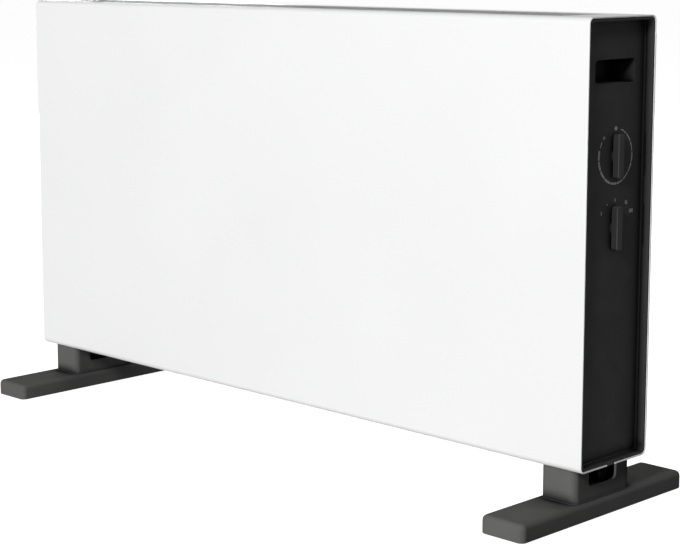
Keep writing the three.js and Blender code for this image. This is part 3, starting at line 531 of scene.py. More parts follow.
def roundedOutline(centre, size, corner):
    def atInset(inset):
        half = (size[0] / 2 - inset, size[1] / 2 - inset)
        radius = max(corner - inset, leastCorner)
        points = []
        for turn, (signU, signV) in enumerate([(1, -1), (1, 1), (-1, 1), (-1, -1)]):
            middle = (centre[0] + signU * (half[0] - radius), centre[1] + signV * (half[1] - radius))
            for step in range(cornerSteps + 1):
                angle = (turn - 1 + step / cornerSteps) * math.pi / 2
                points.append((middle[0] + radius * math.cos(angle), middle[1] + radius * math.sin(angle)))
        return points
    return atInset


def roundOutline(centre, radius, sides=48):
    def atInset(inset):
        angles = [2 * math.pi * side / sides for side in range(sides)]
        reach = radius - inset
        return [(centre[0] + reach * math.cos(a), centre[1] + reach * math.sin(a)) for a in angles]
    return atInset


def plainOutline(points):
    return lambda inset: points


def edgeLevels(edge):
    # pairs of (depth from the end face, inset): above zero rounds over, below zero flares out
    if edge == 0:
        return [(0, 0)]
    angles = [step / edgeSteps * math.pi / 2 for step in range(edgeSteps + 1)]
    if edge > 0:
        return [(edge * (1 - math.cos(a)), edge * (1 - math.sin(a))) for a in angles]
    reach = -edge
    flare = [(reach * (1 - math.cos(a)), reach * (math.sin(a) - 1)) for a in angles]
    return [(-cutReach, -reach)] + flare


def addPrism(bm, axis, outline, span, edges=(0, 0)):
    low = [(span[0] + depth, inset) for depth, inset in edgeLevels(edges[0])]
    high = [(span[1] - depth, inset) for depth, inset in edgeLevels(edges[1])]
    rings = [[toFrame(axis, u, v, w) for u, v in outline(inset)] for w, inset in low + high[::-1]]
    addRings(bm, rings)


def addRings(bm, rings, looped=False):
    made = [[bm.verts.new(point) for point in ring] for ring in rings]
    count = len(rings[0])
    follow = made[1:] + made[:1] if looped else made[1:]
    for first, second in zip(made, follow):
        for i in range(count):
            j = (i + 1) % count
            bm.faces.new((first[i], first[j], second[j], second[i]))
    if not looped:
        bm.faces.new(made[0][::-1])
        bm.faces.new(made[-1])


def turned(bm, profile, place, axis, sides=48, looped=False):
    # profile holds (radius, height) from one end of the axis to the other
    rings = []
    for radius, height in profile:
        ring = roundOutline((0, 0), max(radius, leastRadius), sides)(0)
        rings.append([Vector(place) + toFrame(axis, u, v, height) for u, v in ring])
    addRings(bm, rings, looped)


def linkPiece(name, mesh):
    piece = bpy.data.objects.new(name, mesh)
    scene.collection.objects.link(piece)
    return piece


def newPiece(name, fill):
    bm = bmesh.new()
    fill(bm)
    mesh = bpy.data.meshes.new(name)
    bm.to_mesh(mesh)
    bm.free()
    return linkPiece(name, mesh)


def removePiece(piece):
    mesh = piece.data
    bpy.data.objects.remove(piece)
    bpy.data.meshes.remove(mesh)


def combine(piece, fill, operation):
    tool = newPiece("tool", fill)
    modifier = piece.modifiers.new("combine", "BOOLEAN")
    modifier.operation = operation
    modifier.solver = "EXACT"
    modifier.object = tool
    bakeModifiers(piece)
    removePiece(tool)


def carve(piece, fill):
    combine(piece, fill, "DIFFERENCE")


def weldOn(piece, fill):
    combine(piece, fill, "UNION")


def bakeModifiers(piece):
    bpy.context.view_layer.update()
    evaluated = piece.evaluated_get(bpy.context.evaluated_depsgraph_get())
    mesh = bpy.data.meshes.new_from_object(evaluated)
    old = piece.data
    piece.modifiers.clear()
    piece.data = mesh
    bpy.data.meshes.remove(old)
    mesh.name = piece.name


def smoothShading(piece):
    bm = bmesh.new()
    bm.from_mesh(piece.data)
    bmesh.ops.remove_doubles(bm, verts=bm.verts, dist=weldReach)
    bmesh.ops.dissolve_degenerate(bm, edges=bm.edges, dist=weldReach)
    for face in bm.faces:
        face.smooth = True
    for edge in bm.edges:
        edge.smooth = edge.calc_face_angle(math.pi) < sharpAngle
    bm.to_mesh(piece.data)
    bm.free()
    weighted = piece.modifiers.new("evenShading", "WEIGHTED_NORMAL")
    weighted.keep_sharp = True


def mirrorX(piece):
    piece.data.transform(Matrix.Scale(-1, 4, Vector((1, 0, 0))))
    piece.data.flip_normals()


def finishPiece(piece, slot, body, *replaced, look=None):
    smoothShading(piece)
    piece.data.materials.clear()
    piece.data.materials.append(look or finishes[slot])
    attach(piece, body)
    if replaced:
        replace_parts(piece, *replaced)


def rowOf(count, pitch):
    return [(i - (count - 1) / 2) * pitch for i in range(count)]


def middleOf(name):
    low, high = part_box(name)
    return tuple((a + b) / 2 for a, b in zip(low, high))


def numberedNodes(kind):
    return sorted(name for name in nodes if kind in name and name.rsplit("_", 1)[-1].isdigit())


# folded case

case = {
    "corner": 0.006,
    "sheet": 0.0008,
    "hemWidth": 0.008,
    "hemSteps": 8,
    "rearReturn": 0.016,
    "openingCorner": 0.0004,
    "outletGap": 0.0003,
    "grilleLip": 0.003,
    "slotSize": (0.046, 0.005),
    "slotCorner": 0.0022,
    "slotPitch": 0.058,
    "slotCount": 10,
    "slotRows": (-0.007, 0.007),
    "screwHole": 0.0023,
    "clipHole": {"reach": 0.0052, "y": -0.004, "width": 0.0116},
}
caseLow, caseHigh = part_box("front_casing")
caseMiddle = (0, (caseLow.z + caseHigh.z) / 2)
caseSize = (caseHigh.y - caseLow.y, caseHigh.z - caseLow.z)
caseOutline = roundedOutline(caseMiddle, caseSize, case["corner"])


def addFoldedSheet(bm):
    hem = case["sheet"] * 2
    radius = case["sheet"]
    end = caseHigh.x
    fold = []
    for step in range(case["hemSteps"] + 1):
        angle = (step / case["hemSteps"] - 0.5) * math.pi
        fold.append((end - radius + radius * math.cos(angle), radius + radius * math.sin(angle)))
    right = fold + [(end - case["hemWidth"], hem), (end - case["hemWidth"], case["sheet"])]
    left = [(-x, inset) for x, inset in right[::-1]]
    rings = [[toFrame("x", u, v, x) for u, v in caseOutline(inset)] for x, inset in right + left]
    addRings(bm, rings, looped=True)


def grilleOutline(inward, corner):
    low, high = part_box("outlet_grille")
    size = (high.x - low.x - 2 * inward, high.y - low.y - 2 * inward)
    return roundedOutline(middleOf("outlet_grille")[:2], size, corner)


def addOutlet(bm):
    outlet = grilleOutline(case["grilleLip"] - case["outletGap"], case["openingCorner"])
    addPrism(bm, "z", outlet, (caseHigh.z - case["corner"], caseHigh.z + cutReach))


def addRearWindow(bm):
    size = (caseSize[1] - 2 * case["rearReturn"], 2 * (caseHigh.x + cutReach))
    window = roundedOutline((caseMiddle[1], 0), size, case["openingCorner"])
    addPrism(bm, "y", window, (caseHigh.y - case["corner"], caseHigh.y + cutReach))


def addUndersideOpenings(bm):
    through = (caseLow.z - cutReach, caseLow.z + cutReach)
    for y in case["slotRows"]:
        for x in rowOf(case["slotCount"], case["slotPitch"]):
            slot = roundedOutline((x, y), case["slotSize"], case["slotCorner"])
            addPrism(bm, "z", slot, through)
    clipHole = case["clipHole"]
    for side in (-1, 1):
        centre = (side * (caseHigh.x - clipHole["reach"] / 2 + cutReach / 2), clipHole["y"])
        size = (clipHole["reach"] + cutReach, clipHole["width"])
        addPrism(bm, "z", roundedOutline(centre, size, case["openingCorner"]), through)
    for name in numberedNodes("foot_screw"):
        addPrism(bm, "z", roundOutline(middleOf(name)[:2], case["screwHole"], sides=24), through)


def addCaseOpenings(bm):
    addOutlet(bm)
    addRearWindow(bm)
    addUndersideOpenings(bm)


foldedCase = newPiece("foldedCase", addFoldedSheet)
carve(foldedCase, addCaseOpenings)
finishPiece(foldedCase, "white_paint", heaterBody, "front_casing")
print("case ready,", len(foldedCase.data.polygons), "faces")


# rear cover

cover = {
    "gap": 0.0003,  # from the cover's plate to the case's rear edges
    "plateCorner": 0.0006,
    "plateRound": 0.0003,
    "flangeInset": 0.0243,  # from the case's end to the end of the flange
    "flangeCorner": 0.0003,
    "hemWidth": 0.008,
    "hemCorner": 0.0004,
    "slotRows": 3,
    "slotRise": 0.036,
    "slotRowPitch": 0.014,
    "keyholeInset": 0.14,
    "keyholeDrop": 0.055,
    "keyholeHead": 0.005,
    "keyholeNeck": 0.0025,
    "keyholeRise": 0.012,
    "headSteps": 32,
    "neckSteps": 12,
    "glandHole": 0.0073,
    "screwHole": 0.0018,
}
coverLow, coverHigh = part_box("rear_cover")
plateLow = caseLow.z + case["rearReturn"] + cover["gap"]
plateHigh = caseHigh.z - case["rearReturn"] - cover["gap"]
plateMiddle = (plateLow + plateHigh) / 2
plateHeight = plateHigh - plateLow
sheet = case["sheet"]


def addCoverPlate(bm):
    plate = roundedOutline((plateMiddle, 0), (plateHeight, 2 * coverHigh.x), cover["plateCorner"])
    addPrism(bm, "y", plate, (coverHigh.y - sheet, coverHigh.y), (0, cover["plateRound"]))


def addCoverFlange(low, high, reach):
    def fill(bm):
        width = 2 * (coverHigh.x - cover["flangeInset"])
        strip = roundedOutline(((low + high) / 2, 0), (high - low, width), cover["flangeCorner"])
        addPrism(bm, "y", strip, (coverLow.y, reach))
    return fill


def addCoverHem(side):
    def fill(bm):
        middle = side * (coverHigh.x - cover["hemWidth"] + coverHigh.x) / 2
        size = (plateHeight, cover["hemWidth"])
        strip = roundedOutline((plateMiddle, middle), size, cover["hemCorner"])
        addPrism(bm, "y", strip, (coverHigh.y - 2 * sheet, coverHigh.y - sheet / 2), (cover["hemCorner"], 0))
    return fill


def keyholeOutline(x, z):
    head, neck, rise = cover["keyholeHead"], cover["keyholeNeck"], cover["keyholeRise"]
    start = math.asin(neck / head)
    points = []
    for step in range(cover["headSteps"] + 1):
        angle = start + step / cover["headSteps"] * (2 * math.pi - 2 * start)
        points.append((z + head * math.cos(angle), x + head * math.sin(angle)))
    for step in range(cover["neckSteps"] + 1):
        angle = -math.pi / 2 + step / cover["neckSteps"] * math.pi
        points.append((z + rise + neck * math.cos(angle), x + neck * math.sin(angle)))
    return plainOutline(points)


def addCoverOpenings(bm):
    through = (coverLow.y - cutReach, coverHigh.y + cutReach)
    firstRow = plateLow + cover["slotRise"]
    for row in range(cover["slotRows"]):
        for x in rowOf(case["slotCount"], case["slotPitch"]):
            centre = (firstRow + row * cover["slotRowPitch"], x)
            slot = roundedOutline(centre, case["slotSize"][::-1], case["slotCorner"])
            addPrism(bm, "y", slot, through)
    keyholeX = caseHigh.x - cover["keyholeInset"]
    keyholeZ = caseHigh.z - case["rearReturn"] - cover["keyholeDrop"]
    for side in (-1, 1):
        addPrism(bm, "y", keyholeOutline(side * keyholeX, keyholeZ), through)
    for kind in ("cover_screw", "end_cap_screw", "bracket_screw"):
        for name in numberedNodes(kind):
            x, _, z = middleOf(name)
            addPrism(bm, "y", roundOutline((z, x), cover["screwHole"], sides=24), through)
    x, _, z = middleOf("cable_gland")
    addPrism(bm, "y", roundOutline((z, x), cover["glandHole"], sides=40), through)


# above and below, a step behind the plate's edge and a strip inside the case's rear edge
coverFlanges = [
    (plateLow, plateLow + sheet, coverHigh.y - sheet / 2),
    (plateHigh - sheet, plateHigh, coverHigh.y - sheet / 2),
    (coverLow.z, plateLow + sheet, coverLow.y + sheet),
    (plateHigh - sheet, coverHigh.z, coverLow.y + sheet),
]
rearCover = newPiece("rearCover", addCoverPlate)
for flange in coverFlanges:
    weldOn(rearCover, addCoverFlange(*flange))
for side in (-1, 1):
    weldOn(rearCover, addCoverHem(side))
carve(rearCover, addCoverOpenings)
finishPiece(rearCover, "white_paint", heaterBody, "rear_cover")
print("rear cover ready,", len(rearCover.data.polygons), "faces")


# outlet grille

grille = {
    "corner": 0.0008,
    "edges": (0.0004, 0.0005),
    "lipHeight": 0.0012,
    "lipCorner": 0.001,
    "lipRound": 0.0002,
    "seatGap": 0.0003,
    "border": 0.004,
    "bar": 0.0018,
    "rib": 0.0024,
    "rows": 6,
    "columns": 10,
    "cellCorner": 0.0012,
    "cellFlare": (-0.0003, -0.0007),
}
grilleLow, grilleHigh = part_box("outlet_grille")
grilleMiddle = middleOf("outlet_grille")
grilleSpan = (grilleLow.z, grilleHigh.z)
grilleSize = [grilleHigh[i] - grilleLow[i] - 2 * case["grilleLip"] for i in (0, 1)]


def addGrilleBlock(bm):
    addPrism(bm, "z", grilleOutline(case["grilleLip"], grille["corner"]), grilleSpan, grille["edges"])


def addGrilleLip(bm):
    top = caseHigh.z - case["sheet"] - grille["seatGap"]
    span = (top - grille["lipHeight"], top)
    addPrism(bm, "z", grilleOutline(0, grille["lipCorner"]), span, (grille["lipRound"], grille["lipRound"]))


def addGrilleCells(bm):
    rowPitch = (grilleSize[1] - 2 * grille["border"] + grille["bar"]) / grille["rows"]
    columnPitch = (grilleSize[0] - 2 * grille["border"] + grille["rib"]) / grille["columns"]
    size = (columnPitch - grille["rib"], rowPitch - grille["bar"])
    for v in rowOf(grille["rows"], rowPitch):
        for u in rowOf(grille["columns"], columnPitch):
            centre = (grilleMiddle[0] + u, grilleMiddle[1] + v)
            cell = roundedOutline(centre, size, grille["cellCorner"])
            addPrism(bm, "z", cell, grilleSpan, grille["cellFlare"])


outletGrille = newPiece("outletGrille", addGrilleBlock)
weldOn(outletGrille, addGrilleLip)
carve(outletGrille, addGrilleCells)
finishPiece(outletGrille, "grille_plastic", heaterBody, "outlet_grille")
print("grille ready,", len(outletGrille.data.polygons), "faces")


# end caps, drawn for the control end and mirrored for the other

cap = {
    "inset": 0.0019,  # from the outside of the case
    "wall": 0.002,
    "recess": 0.0095,
    "floor": 0.0025,
    "cavityCorner": 0.0046,
    "cavityRound": 0.001,
    "fillet": 0.0015,
    "backRound": 0.0003,
    "rimRound": 0.0005,
    "bossRadius": 0.004,
    "bossRound": 0.0004,
    "screwBoss": 0.012,
    "controlBoss": 0.009,
    "pilot": 0.0018,
}
clip = {
    "y": -0.004,
    "width": 0.011,
    "length": 0.0045,
    "corner": 0.0004,
    "gap": 0.0001,
    "edges": (0.0003, 0.0004),
}
grip = {
    "y": 0.0029,
    "drop": 0.048,
    "size": (0.059, 0.021),
    "corner": 0.004,
    "depth": 0.026,
    "wall": 0.002,
    "mouthRound": 0.0006,
    "bottomRound": 0.0005,
    "backRound": 0.001,
}
gripRoll = {"width": 0.003, "depth": 0.006, "steps": 10}
control = {"y": 0.0048, "hubHole": 0.0059, "mouthRound": 0.0004}
capInner, capRim = [corner.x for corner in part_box("right_end_cap")]
capFloor = caseHigh.x - cap["recess"]
capBack = capFloor - cap["floor"]
capMiddle = (capInner + capBack) / 2
gripCentre = (grip["y"], caseHigh.z - grip["drop"])


def jointHeight(name):
    return next(joint["pos_m"][2] for joint in frame["joints"] if joint["name"] == name)


thermostatZ = jointHeight("thermostat_turn")
selectorZ = jointHeight("selector_turn")


def shrunkCase(inset, corner):
    size = (caseSize[0] - 2 * inset, caseSize[1] - 2 * inset)
    return roundedOutline(caseMiddle, size, corner)


def addCapTray(bm):
    outside = shrunkCase(cap["inset"], case["corner"] - cap["inset"])
    addPrism(bm, "x", outside, (capInner, capRim), (cap["backRound"], cap["rimRound"]))


def addCapHollows(bm):
    inside = shrunkCase(cap["inset"] + cap["wall"], cap["cavityCorner"])
    addPrism(bm, "x", inside, (capFloor, capRim), (cap["fillet"], -cap["rimRound"]))
    addPrism(bm, "x", inside, (capInner - cutReach, capBack), (0, cap["cavityRound"]))


def addCapClip(bm):
    low = caseLow.z + clip["gap"]
    high = caseLow.z + cap["inset"] + cap["wall"] / 2
    outline = roundedOutline((clip["y"], (low + high) / 2), (clip["width"], high - low), clip["corner"])
    addPrism(bm, "x", outline, (capRim - clip["length"], capRim - clip["gap"]), clip["edges"])


def addGripShell(bm):
    size = (grip["size"][0] + 2 * grip["wall"], grip["size"][1] + 2 * grip["wall"])
    outline = roundedOutline(gripCentre, size, grip["corner"] + grip["wall"])
    span = (capFloor - grip["depth"] - grip["wall"], capFloor - cap["floor"] / 2)
    addPrism(bm, "x", outline, span, (grip["backRound"], 0))


def addGripPocket(bm):
    outline = roundedOutline(gripCentre, grip["size"], grip["corner"])
    span = (capFloor - grip["depth"], capFloor)
    addPrism(bm, "x", outline, span, (grip["bottomRound"], -grip["mouthRound"]))


def addGripRoll(bm):
    # the rear side of the grip rolls over from the floor of the recess
    side = grip["y"] + grip["size"][0] / 2
    deep = capFloor - gripRoll["depth"]
    bottom = capFloor - grip["depth"] - grip["wall"] / 2
    outline = [(bottom, side + grip["wall"] / 2), (bottom, side - gripRoll["width"])]
    for step in range(gripRoll["steps"] + 1):
        angle = step / gripRoll["steps"] * math.pi / 2
        point = (deep + gripRoll["depth"] * math.sin(angle), side - gripRoll["width"] * math.cos(angle))
        outline.append(point)
    outline.append((capFloor, side + grip["wall"] / 2))
    half = (grip["size"][1] + grip["wall"]) / 2
    addPrism(bm, "z", plainOutline(outline), (gripCentre[1] - half, gripCentre[1] + half))


def addScrewBosses(bm):
    inner = caseHigh.y - cap["inset"] - cap["screwBoss"]
    wall = caseHigh.y - cap["inset"] - cap["wall"] / 2
    for z in capScrewHeights():
        boss = roundOutline((z, capMiddle), cap["bossRadius"], sides=32)
        addPrism(bm, "y", boss, (inner, wall), (cap["bossRound"], 0))


def addScrewPilots(bm):
    inner = caseHigh.y - cap["inset"] - cap["screwBoss"]
    for z in capScrewHeights():
        pilot = roundOutline((z, capMiddle), cap["pilot"], sides=24)
        addPrism(bm, "y", pilot, (inner - cutReach, caseHigh.y + cutReach))


def capScrewHeights():
    return sorted({round(middleOf(name)[2], 6) for name in numberedNodes("end_cap_screw")})


def controlScrewHeights():
    return [middleOf(name)[2] for name in numberedNodes("control_plate_screw")]


def addControlBosses(bm):
    span = (capBack - cap["controlBoss"], capBack + cap["floor"] / 2)
    for z in controlScrewHeights():
        boss = roundOutline((control["y"], z), cap["bossRadius"], sides=32)
        addPrism(bm, "x", boss, span, (cap["bossRound"], 0))


def addControlHoles(bm):
    for z in controlScrewHeights():
        pilot = roundOutline((control["y"], z), cap["pilot"], sides=24)
        addPrism(bm, "x", pilot, (capBack - cap["controlBoss"] - cutReach, capBack))
    for z in (thermostatZ, selectorZ):
        hubHole = roundOutline((control["y"], z), control["hubHole"])
        addPrism(bm, "x", hubHole, (capBack - cutReach, capFloor), (0, -control["mouthRound"]))


def buildEndCap(name, node, side, hasControls):
    piece = newPiece(name, addCapTray)
    carve(piece, addCapHollows)
    weldOn(piece, addCapClip)
    weldOn(piece, addGripShell)
    carve(piece, addGripPocket)
    weldOn(piece, addGripRoll)
    weldOn(piece, addScrewBosses)
    carve(piece, addScrewPilots)
    if hasControls:
        weldOn(piece, addControlBosses)
        carve(piece, addControlHoles)
    if side < 0:
        mirrorX(piece)
    finishPiece(piece, "black_plastic", heaterBody, node)
    print(name, "ready,", len(piece.data.polygons), "faces")


buildEndCap("controlEndCap", "right_end_cap", 1, hasControls=True)
buildEndCap("plainEndCap", "left_end_cap", -1, hasControls=False)


# lever knobs

lever = {
    "width": 0.008,
    "length": 0.0385,
    "height": 0.0064,
    "corner": 0.002,
    "baseRound": 0.0003,
    "faceRound": 0.0009,
    "hub": 0.0055,
    "hubRound": 0.0003,
    "hubSink": 0.00005,
    "bore": 0.0033,
    "flat": 0.0025,
    "boreSteps": 24,
}


def spindleBore(z):
    flat, radius, steps = lever["flat"], lever["bore"], lever["boreSteps"]
    start = math.acos(flat / radius)
    angles = [start + step / steps * (2 * math.pi - 2 * start) for step in range(steps + 1)]
    return plainOutline([(control["y"] + radius * math.cos(a), z + radius * math.sin(a)) for a in angles])


def buildLever(name, node, body, z):
    low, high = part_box(node)
    base = high.x - lever["height"]
    centre = (control["y"], z)

    def addBlock(bm):
        outline = roundedOutline(centre, (lever["width"], lever["length"]), lever["corner"])
        addPrism(bm, "x", outline, (base, high.x), (lever["baseRound"], lever["faceRound"]))

    def addHub(bm):
        span = (low.x, base + lever["hubSink"])
        addPrism(bm, "x", roundOutline(centre, lever["hub"]), span, (lever["hubRound"], 0))

    def addBore(bm):
        addPrism(bm, "x", spindleBore(z), (low.x - cutReach, base))

    piece = newPiece(name, addBlock)
    weldOn(piece, addHub)
    carve(piece, addBore)
    finishPiece(piece, "knob_plastic", body, node)


buildLever("thermostatLever", "thermostat_knob", "thermostat_dial", thermostatZ)
buildLever("selectorLever", "selector_knob", "selector_dial", selectorZ)
print("levers ready")


# printed marks round the levers, in degrees clockwise from upright

dialMarks = {
    "proud": 0.00012,
    "sink": 0.00005,
    "ringRadius": 0.0241,
    "ringStart": 18,
    "ringEnd": 288,
    "dashes": 12,
    "dashSteps": 8,
    "gap": 2.6,
    "thin": 0.001,
    "thick": 0.0024,
    "endDash": (-69, -56),
    "frostAngle": -45.5,
    "frostReach": 0.024,
    "frostArm": (0.0005, 0.0036),
    "frostTilt": 60,
    "dotRadius": 0.0019,
    "dotReach": 0.0243,
    # angle, reach and number of bars, where 0 is a dot
    "levels": (
        (-52.5, 0.0236, 1),
        (-26.5, 0.024, 0),
        (2, 0.0245, 1),
        (39.5, 0.0273, 2),
        (62.4, 0.0279, 3),
    ),
    "levelDot": 0.0007,
    "barSize": (0.0009, 0.0034),
    "barPitch": 0.0019,
}


def clockPoint(z, angle, reach):
    turn = math.radians(angle)
    return (control["y"] + reach * math.sin(turn), z + reach * math.cos(turn))


def addMark(bm, points):
    span = (capFloor - dialMarks["sink"], capFloor + dialMarks["proud"])
    addPrism(bm, "x", plainOutline(points), span)


def addArc(bm, z, start, end, width):
    steps, radius = dialMarks["dashSteps"], dialMarks["ringRadius"]
    angles = [start + (end - start) * step / steps for step in range(steps + 1)]
    outer = [clockPoint(z, angle, radius + width / 2) for angle in angles]
    inner = [clockPoint(z, angle, radius - width / 2) for angle in angles]
    addMark(bm, (outer + inner[::-1])[::-1])


def addBar(bm, centre, size, tilt=0):
    cosine, sine = math.cos(math.radians(tilt)), math.sin(math.radians(tilt))
    points = []
    for signU, signV in [(-1, -1), (1, -1), (1, 1), (-1, 1)]:
        u, v = signU * size[0] / 2, signV * size[1] / 2
        points.append((centre[0] + u * cosine - v * sine, centre[1] + u * sine + v * cosine))
    addMark(bm, points)


def addThermostatMarks(bm):
    marks = dialMarks
    step = (marks["ringEnd"] - marks["ringStart"]) / marks["dashes"]
    for dash in range(marks["dashes"]):
        start = marks["ringStart"] + dash * step
        width = marks["thin"] + (marks["thick"] - marks["thin"]) * dash / (marks["dashes"] - 1)
        addArc(bm, thermostatZ, start, start + step - marks["gap"], width)
    addArc(bm, thermostatZ, *marks["endDash"], marks["thin"])
    dot = clockPoint(thermostatZ, 0, marks["dotReach"])
    addMark(bm, roundOutline(dot, marks["dotRadius"], sides=24)(0))


def addFrostArm(bm, tilt):
    centre = clockPoint(thermostatZ, dialMarks["frostAngle"], dialMarks["frostReach"])
    addBar(bm, centre, dialMarks["frostArm"], tilt)


def addSelectorMarks(bm):
    for angle, reach, count in dialMarks["levels"]:
        centre = clockPoint(selectorZ, angle, reach)
        for shift in rowOf(count, dialMarks["barPitch"]):
            addBar(bm, (centre[0] + shift, centre[1]), dialMarks["barSize"])
        if count == 0:
            addMark(bm, roundOutline(centre, dialMarks["levelDot"], sides=20)(0))


def addMarks(bm):
    addThermostatMarks(bm)
    addSelectorMarks(bm)
    addFrostArm(bm, 0)


printedMarks = newPiece("printedMarks", addMarks)
weldOn(printedMarks, lambda bm: addFrostArm(bm, dialMarks["frostTilt"]))
weldOn(printedMarks, lambda bm: addFrostArm(bm, -dialMarks["frostTilt"]))
finishPiece(printedMarks, "black_plastic", heaterBody, look=inkFinish)
print("marks ready")


# feet

foot = {
    "barCorner": 0.006,
    "barHeight": 0.0165,
    "barRound": 0.0048,
    "soleRound": 0.0008,
    "pedestal": (0.0384, 0.0836),
    "pedestalCorner": 0.0075,
    "pedestalRound": 0.0003,
    "pedestalWall": 0.0022,
    "pedestalFloor": 0.0025,
    "floorFillet": 0.0005,
    "junction": 0.0006,
    "notchWidth": 0.04,
    "notchDepth": 0.019,
    "notchCorner": 0.005,
    "notchRound": 0.0006,
    "postRadius": 0.005,
    "postRound": 0.0003,
    "screwHole": 0.0023,
    "headHole": 0.0046,
    "headSeat": 0.0045,
    "padHole": 0.0103,
    "padSeat": 0.00275,
    "pocket": {"wall": 0.0078, "near": 0.0468, "far": 0.0857, "depth": 0.0125},
    "pocketCorner": 0.002,
    "pocketFillet": 0.001,
    "mouthRound": 0.0004,
}


def buildFoot(name, label):
    node = label + "_foot"
    low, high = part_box(node)
    middleX = (low.x + high.x) / 2
    barTop = low.z + foot["barHeight"]
    posts = [middleOf(screw)[1] for screw in numberedNodes(label + "_foot_screw")]
    pads = [middleOf(pad)[1] for pad in numberedNodes(label + "_rubber_pad")]

    def addBar(bm):
        bar = roundedOutline((middleX, 0), (high.x - low.x, high.y - low.y), foot["barCorner"])
        addPrism(bm, "z", bar, (low.z, barTop), (foot["soleRound"], foot["barRound"]))

    def addPedestal(bm):
        outline = roundedOutline((middleX, 0), foot["pedestal"], foot["pedestalCorner"])
        addPrism(bm, "z", outline, (barTop, high.z), (-foot["junction"], foot["pedestalRound"]))

    def addHollow(bm):
        size = [side - 2 * foot["pedestalWall"] for side in foot["pedestal"]]
        outline = roundedOutline((middleX, 0), size, foot["pedestalCorner"] - foot["pedestalWall"])
        span = (barTop + foot["pedestalFloor"], high.z + cutReach)
        addPrism(bm, "z", outline, span, (foot["floorFillet"], 0))

    def addNotch(bm):
        size = (foot["notchWidth"], 2 * foot["notchDepth"])
        outline = roundedOutline((0, caseLow.z), size, foot["notchCorner"])
        half = foot["pedestal"][0] / 2
        edges = (-foot["notchRound"], -foot["notchRound"])
        addPrism(bm, "x", outline, (middleX - half, middleX + half), edges)

    def addPosts(bm):
        for y in posts:
            post = roundOutline((middleX, y), foot["postRadius"], sides=40)
            addPrism(bm, "z", post, (barTop, high.z), (0, foot["postRound"]))

    def addUnderside(bm):
        for y in posts:
            seat = roundOutline((middleX, y), foot["headHole"], sides=40)
            addPrism(bm, "z", seat, (low.z, barTop - foot["headSeat"]), (-foot["mouthRound"], 0))
        for y in pads:
            seat = roundOutline((middleX, y), foot["padHole"])
            addPrism(bm, "z", seat, (low.z - cutReach, foot["padSeat"]))
        pocket = foot["pocket"]
        size = (high.x - low.x - 2 * pocket["wall"], pocket["far"] - pocket["near"])
        for side in (-1, 1):
            centre = (middleX, side * (pocket["near"] + pocket["far"]) / 2)
            outline = roundedOutline(centre, size, foot["pocketCorner"])
            span = (low.z, low.z + pocket["depth"])
            addPrism(bm, "z", outline, span, (-foot["mouthRound"], foot["pocketFillet"]))

    def addShankHoles(bm):
        for y in posts:
            hole = roundOutline((middleX, y), foot["screwHole"], sides=32)
            addPrism(bm, "z", hole, (low.z - cutReach, high.z + cutReach))

    piece = newPiece(name, addBar)
    weldOn(piece, addPedestal)
    carve(piece, addHollow)
    carve(piece, addNotch)
    weldOn(piece, addPosts)
    carve(piece, addUnderside)
    carve(piece, addShankHoles)
    finishPiece(piece, "foot_plastic", heaterBody, node)
    print(name, "ready,", len(piece.data.polygons), "faces")


buildFoot("leftFoot", "left")
buildFoot("rightFoot", "right")


# rubber pads

pad = {
    "groove": 0.0003,
    # share of the radius and of the groove's depth, from the middle of the sole outwards
    "sole": ((0, 1), (0.35, 1), (0.4, 0), (0.62, 0), (0.67, 1), (0.72, 1), (0.77, 0)),
    "soleRound": 0.0005,
    "topRound": 0.0003,
}


def buildPad(name):
    low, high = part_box(name)
    radius = (high.x - low.x) / 2
    height = high.z - low.z
    x, y, _ = middleOf(name)
    profile = [(radius * share, pad["groove"] * depth) for share, depth in pad["sole"]]
    profile += [(radius - pad["soleRound"], 0), (radius, pad["soleRound"])]
    profile += [(radius, height - pad["topRound"]), (radius - pad["topRound"], height), (0, height)]
    piece = newPiece(name.replace("_", "-") + "-moulded", lambda bm: turned(bm, profile, (x, y, low.z), "z"))
    finishPiece(piece, "rubber", heaterBody, name)


for padName in numberedNodes("rubber_pad"):
    buildPad(padName)
print("pads ready")


# screws with a cross recess, drawn with the underside of the head at the origin and the head along +Z

screwHead = {
    # shares of the head's width, radius and height
    "recessWidth": 0.18,
    "recessLength": 1.15,
    "recessDepth": 0.7,
    "recessCorner": 0.3,  # share of the recess's width
    "rim": 0.35,  # share of the head's height below its crown
    "crownSteps": 7,
}
screwTip = {"width": 0.7, "length": 0.5}  # shares of the shank's radius
screwTurns = {
    "rear": Matrix.Rotation(-math.pi / 2, 4, "X"),
    "down": Matrix.Rotation(math.pi, 4, "X"),
    "in": Matrix.Rotation(-math.pi / 2, 4, "Y"),
}
screwAxes = {"rear": 1, "down": 2, "in": 0}
# the way the head points, the radius of the shank and the height of the head
screwKinds = {
    "cover_screw": {"towards": "rear", "shank": 0.0015, "headHeight": 0.002},
    "bracket_screw": {"towards": "rear", "shank": 0.0015, "headHeight": 0.002},
    "end_cap_screw": {"towards": "rear", "shank": 0.0015, "headHeight": 0.002},
    "control_plate_screw": {"towards": "in", "shank": 0.0015, "headHeight": 0.002},
    "foot_screw": {"towards": "down", "shank": 0.002, "headHeight": 0.0026},
}


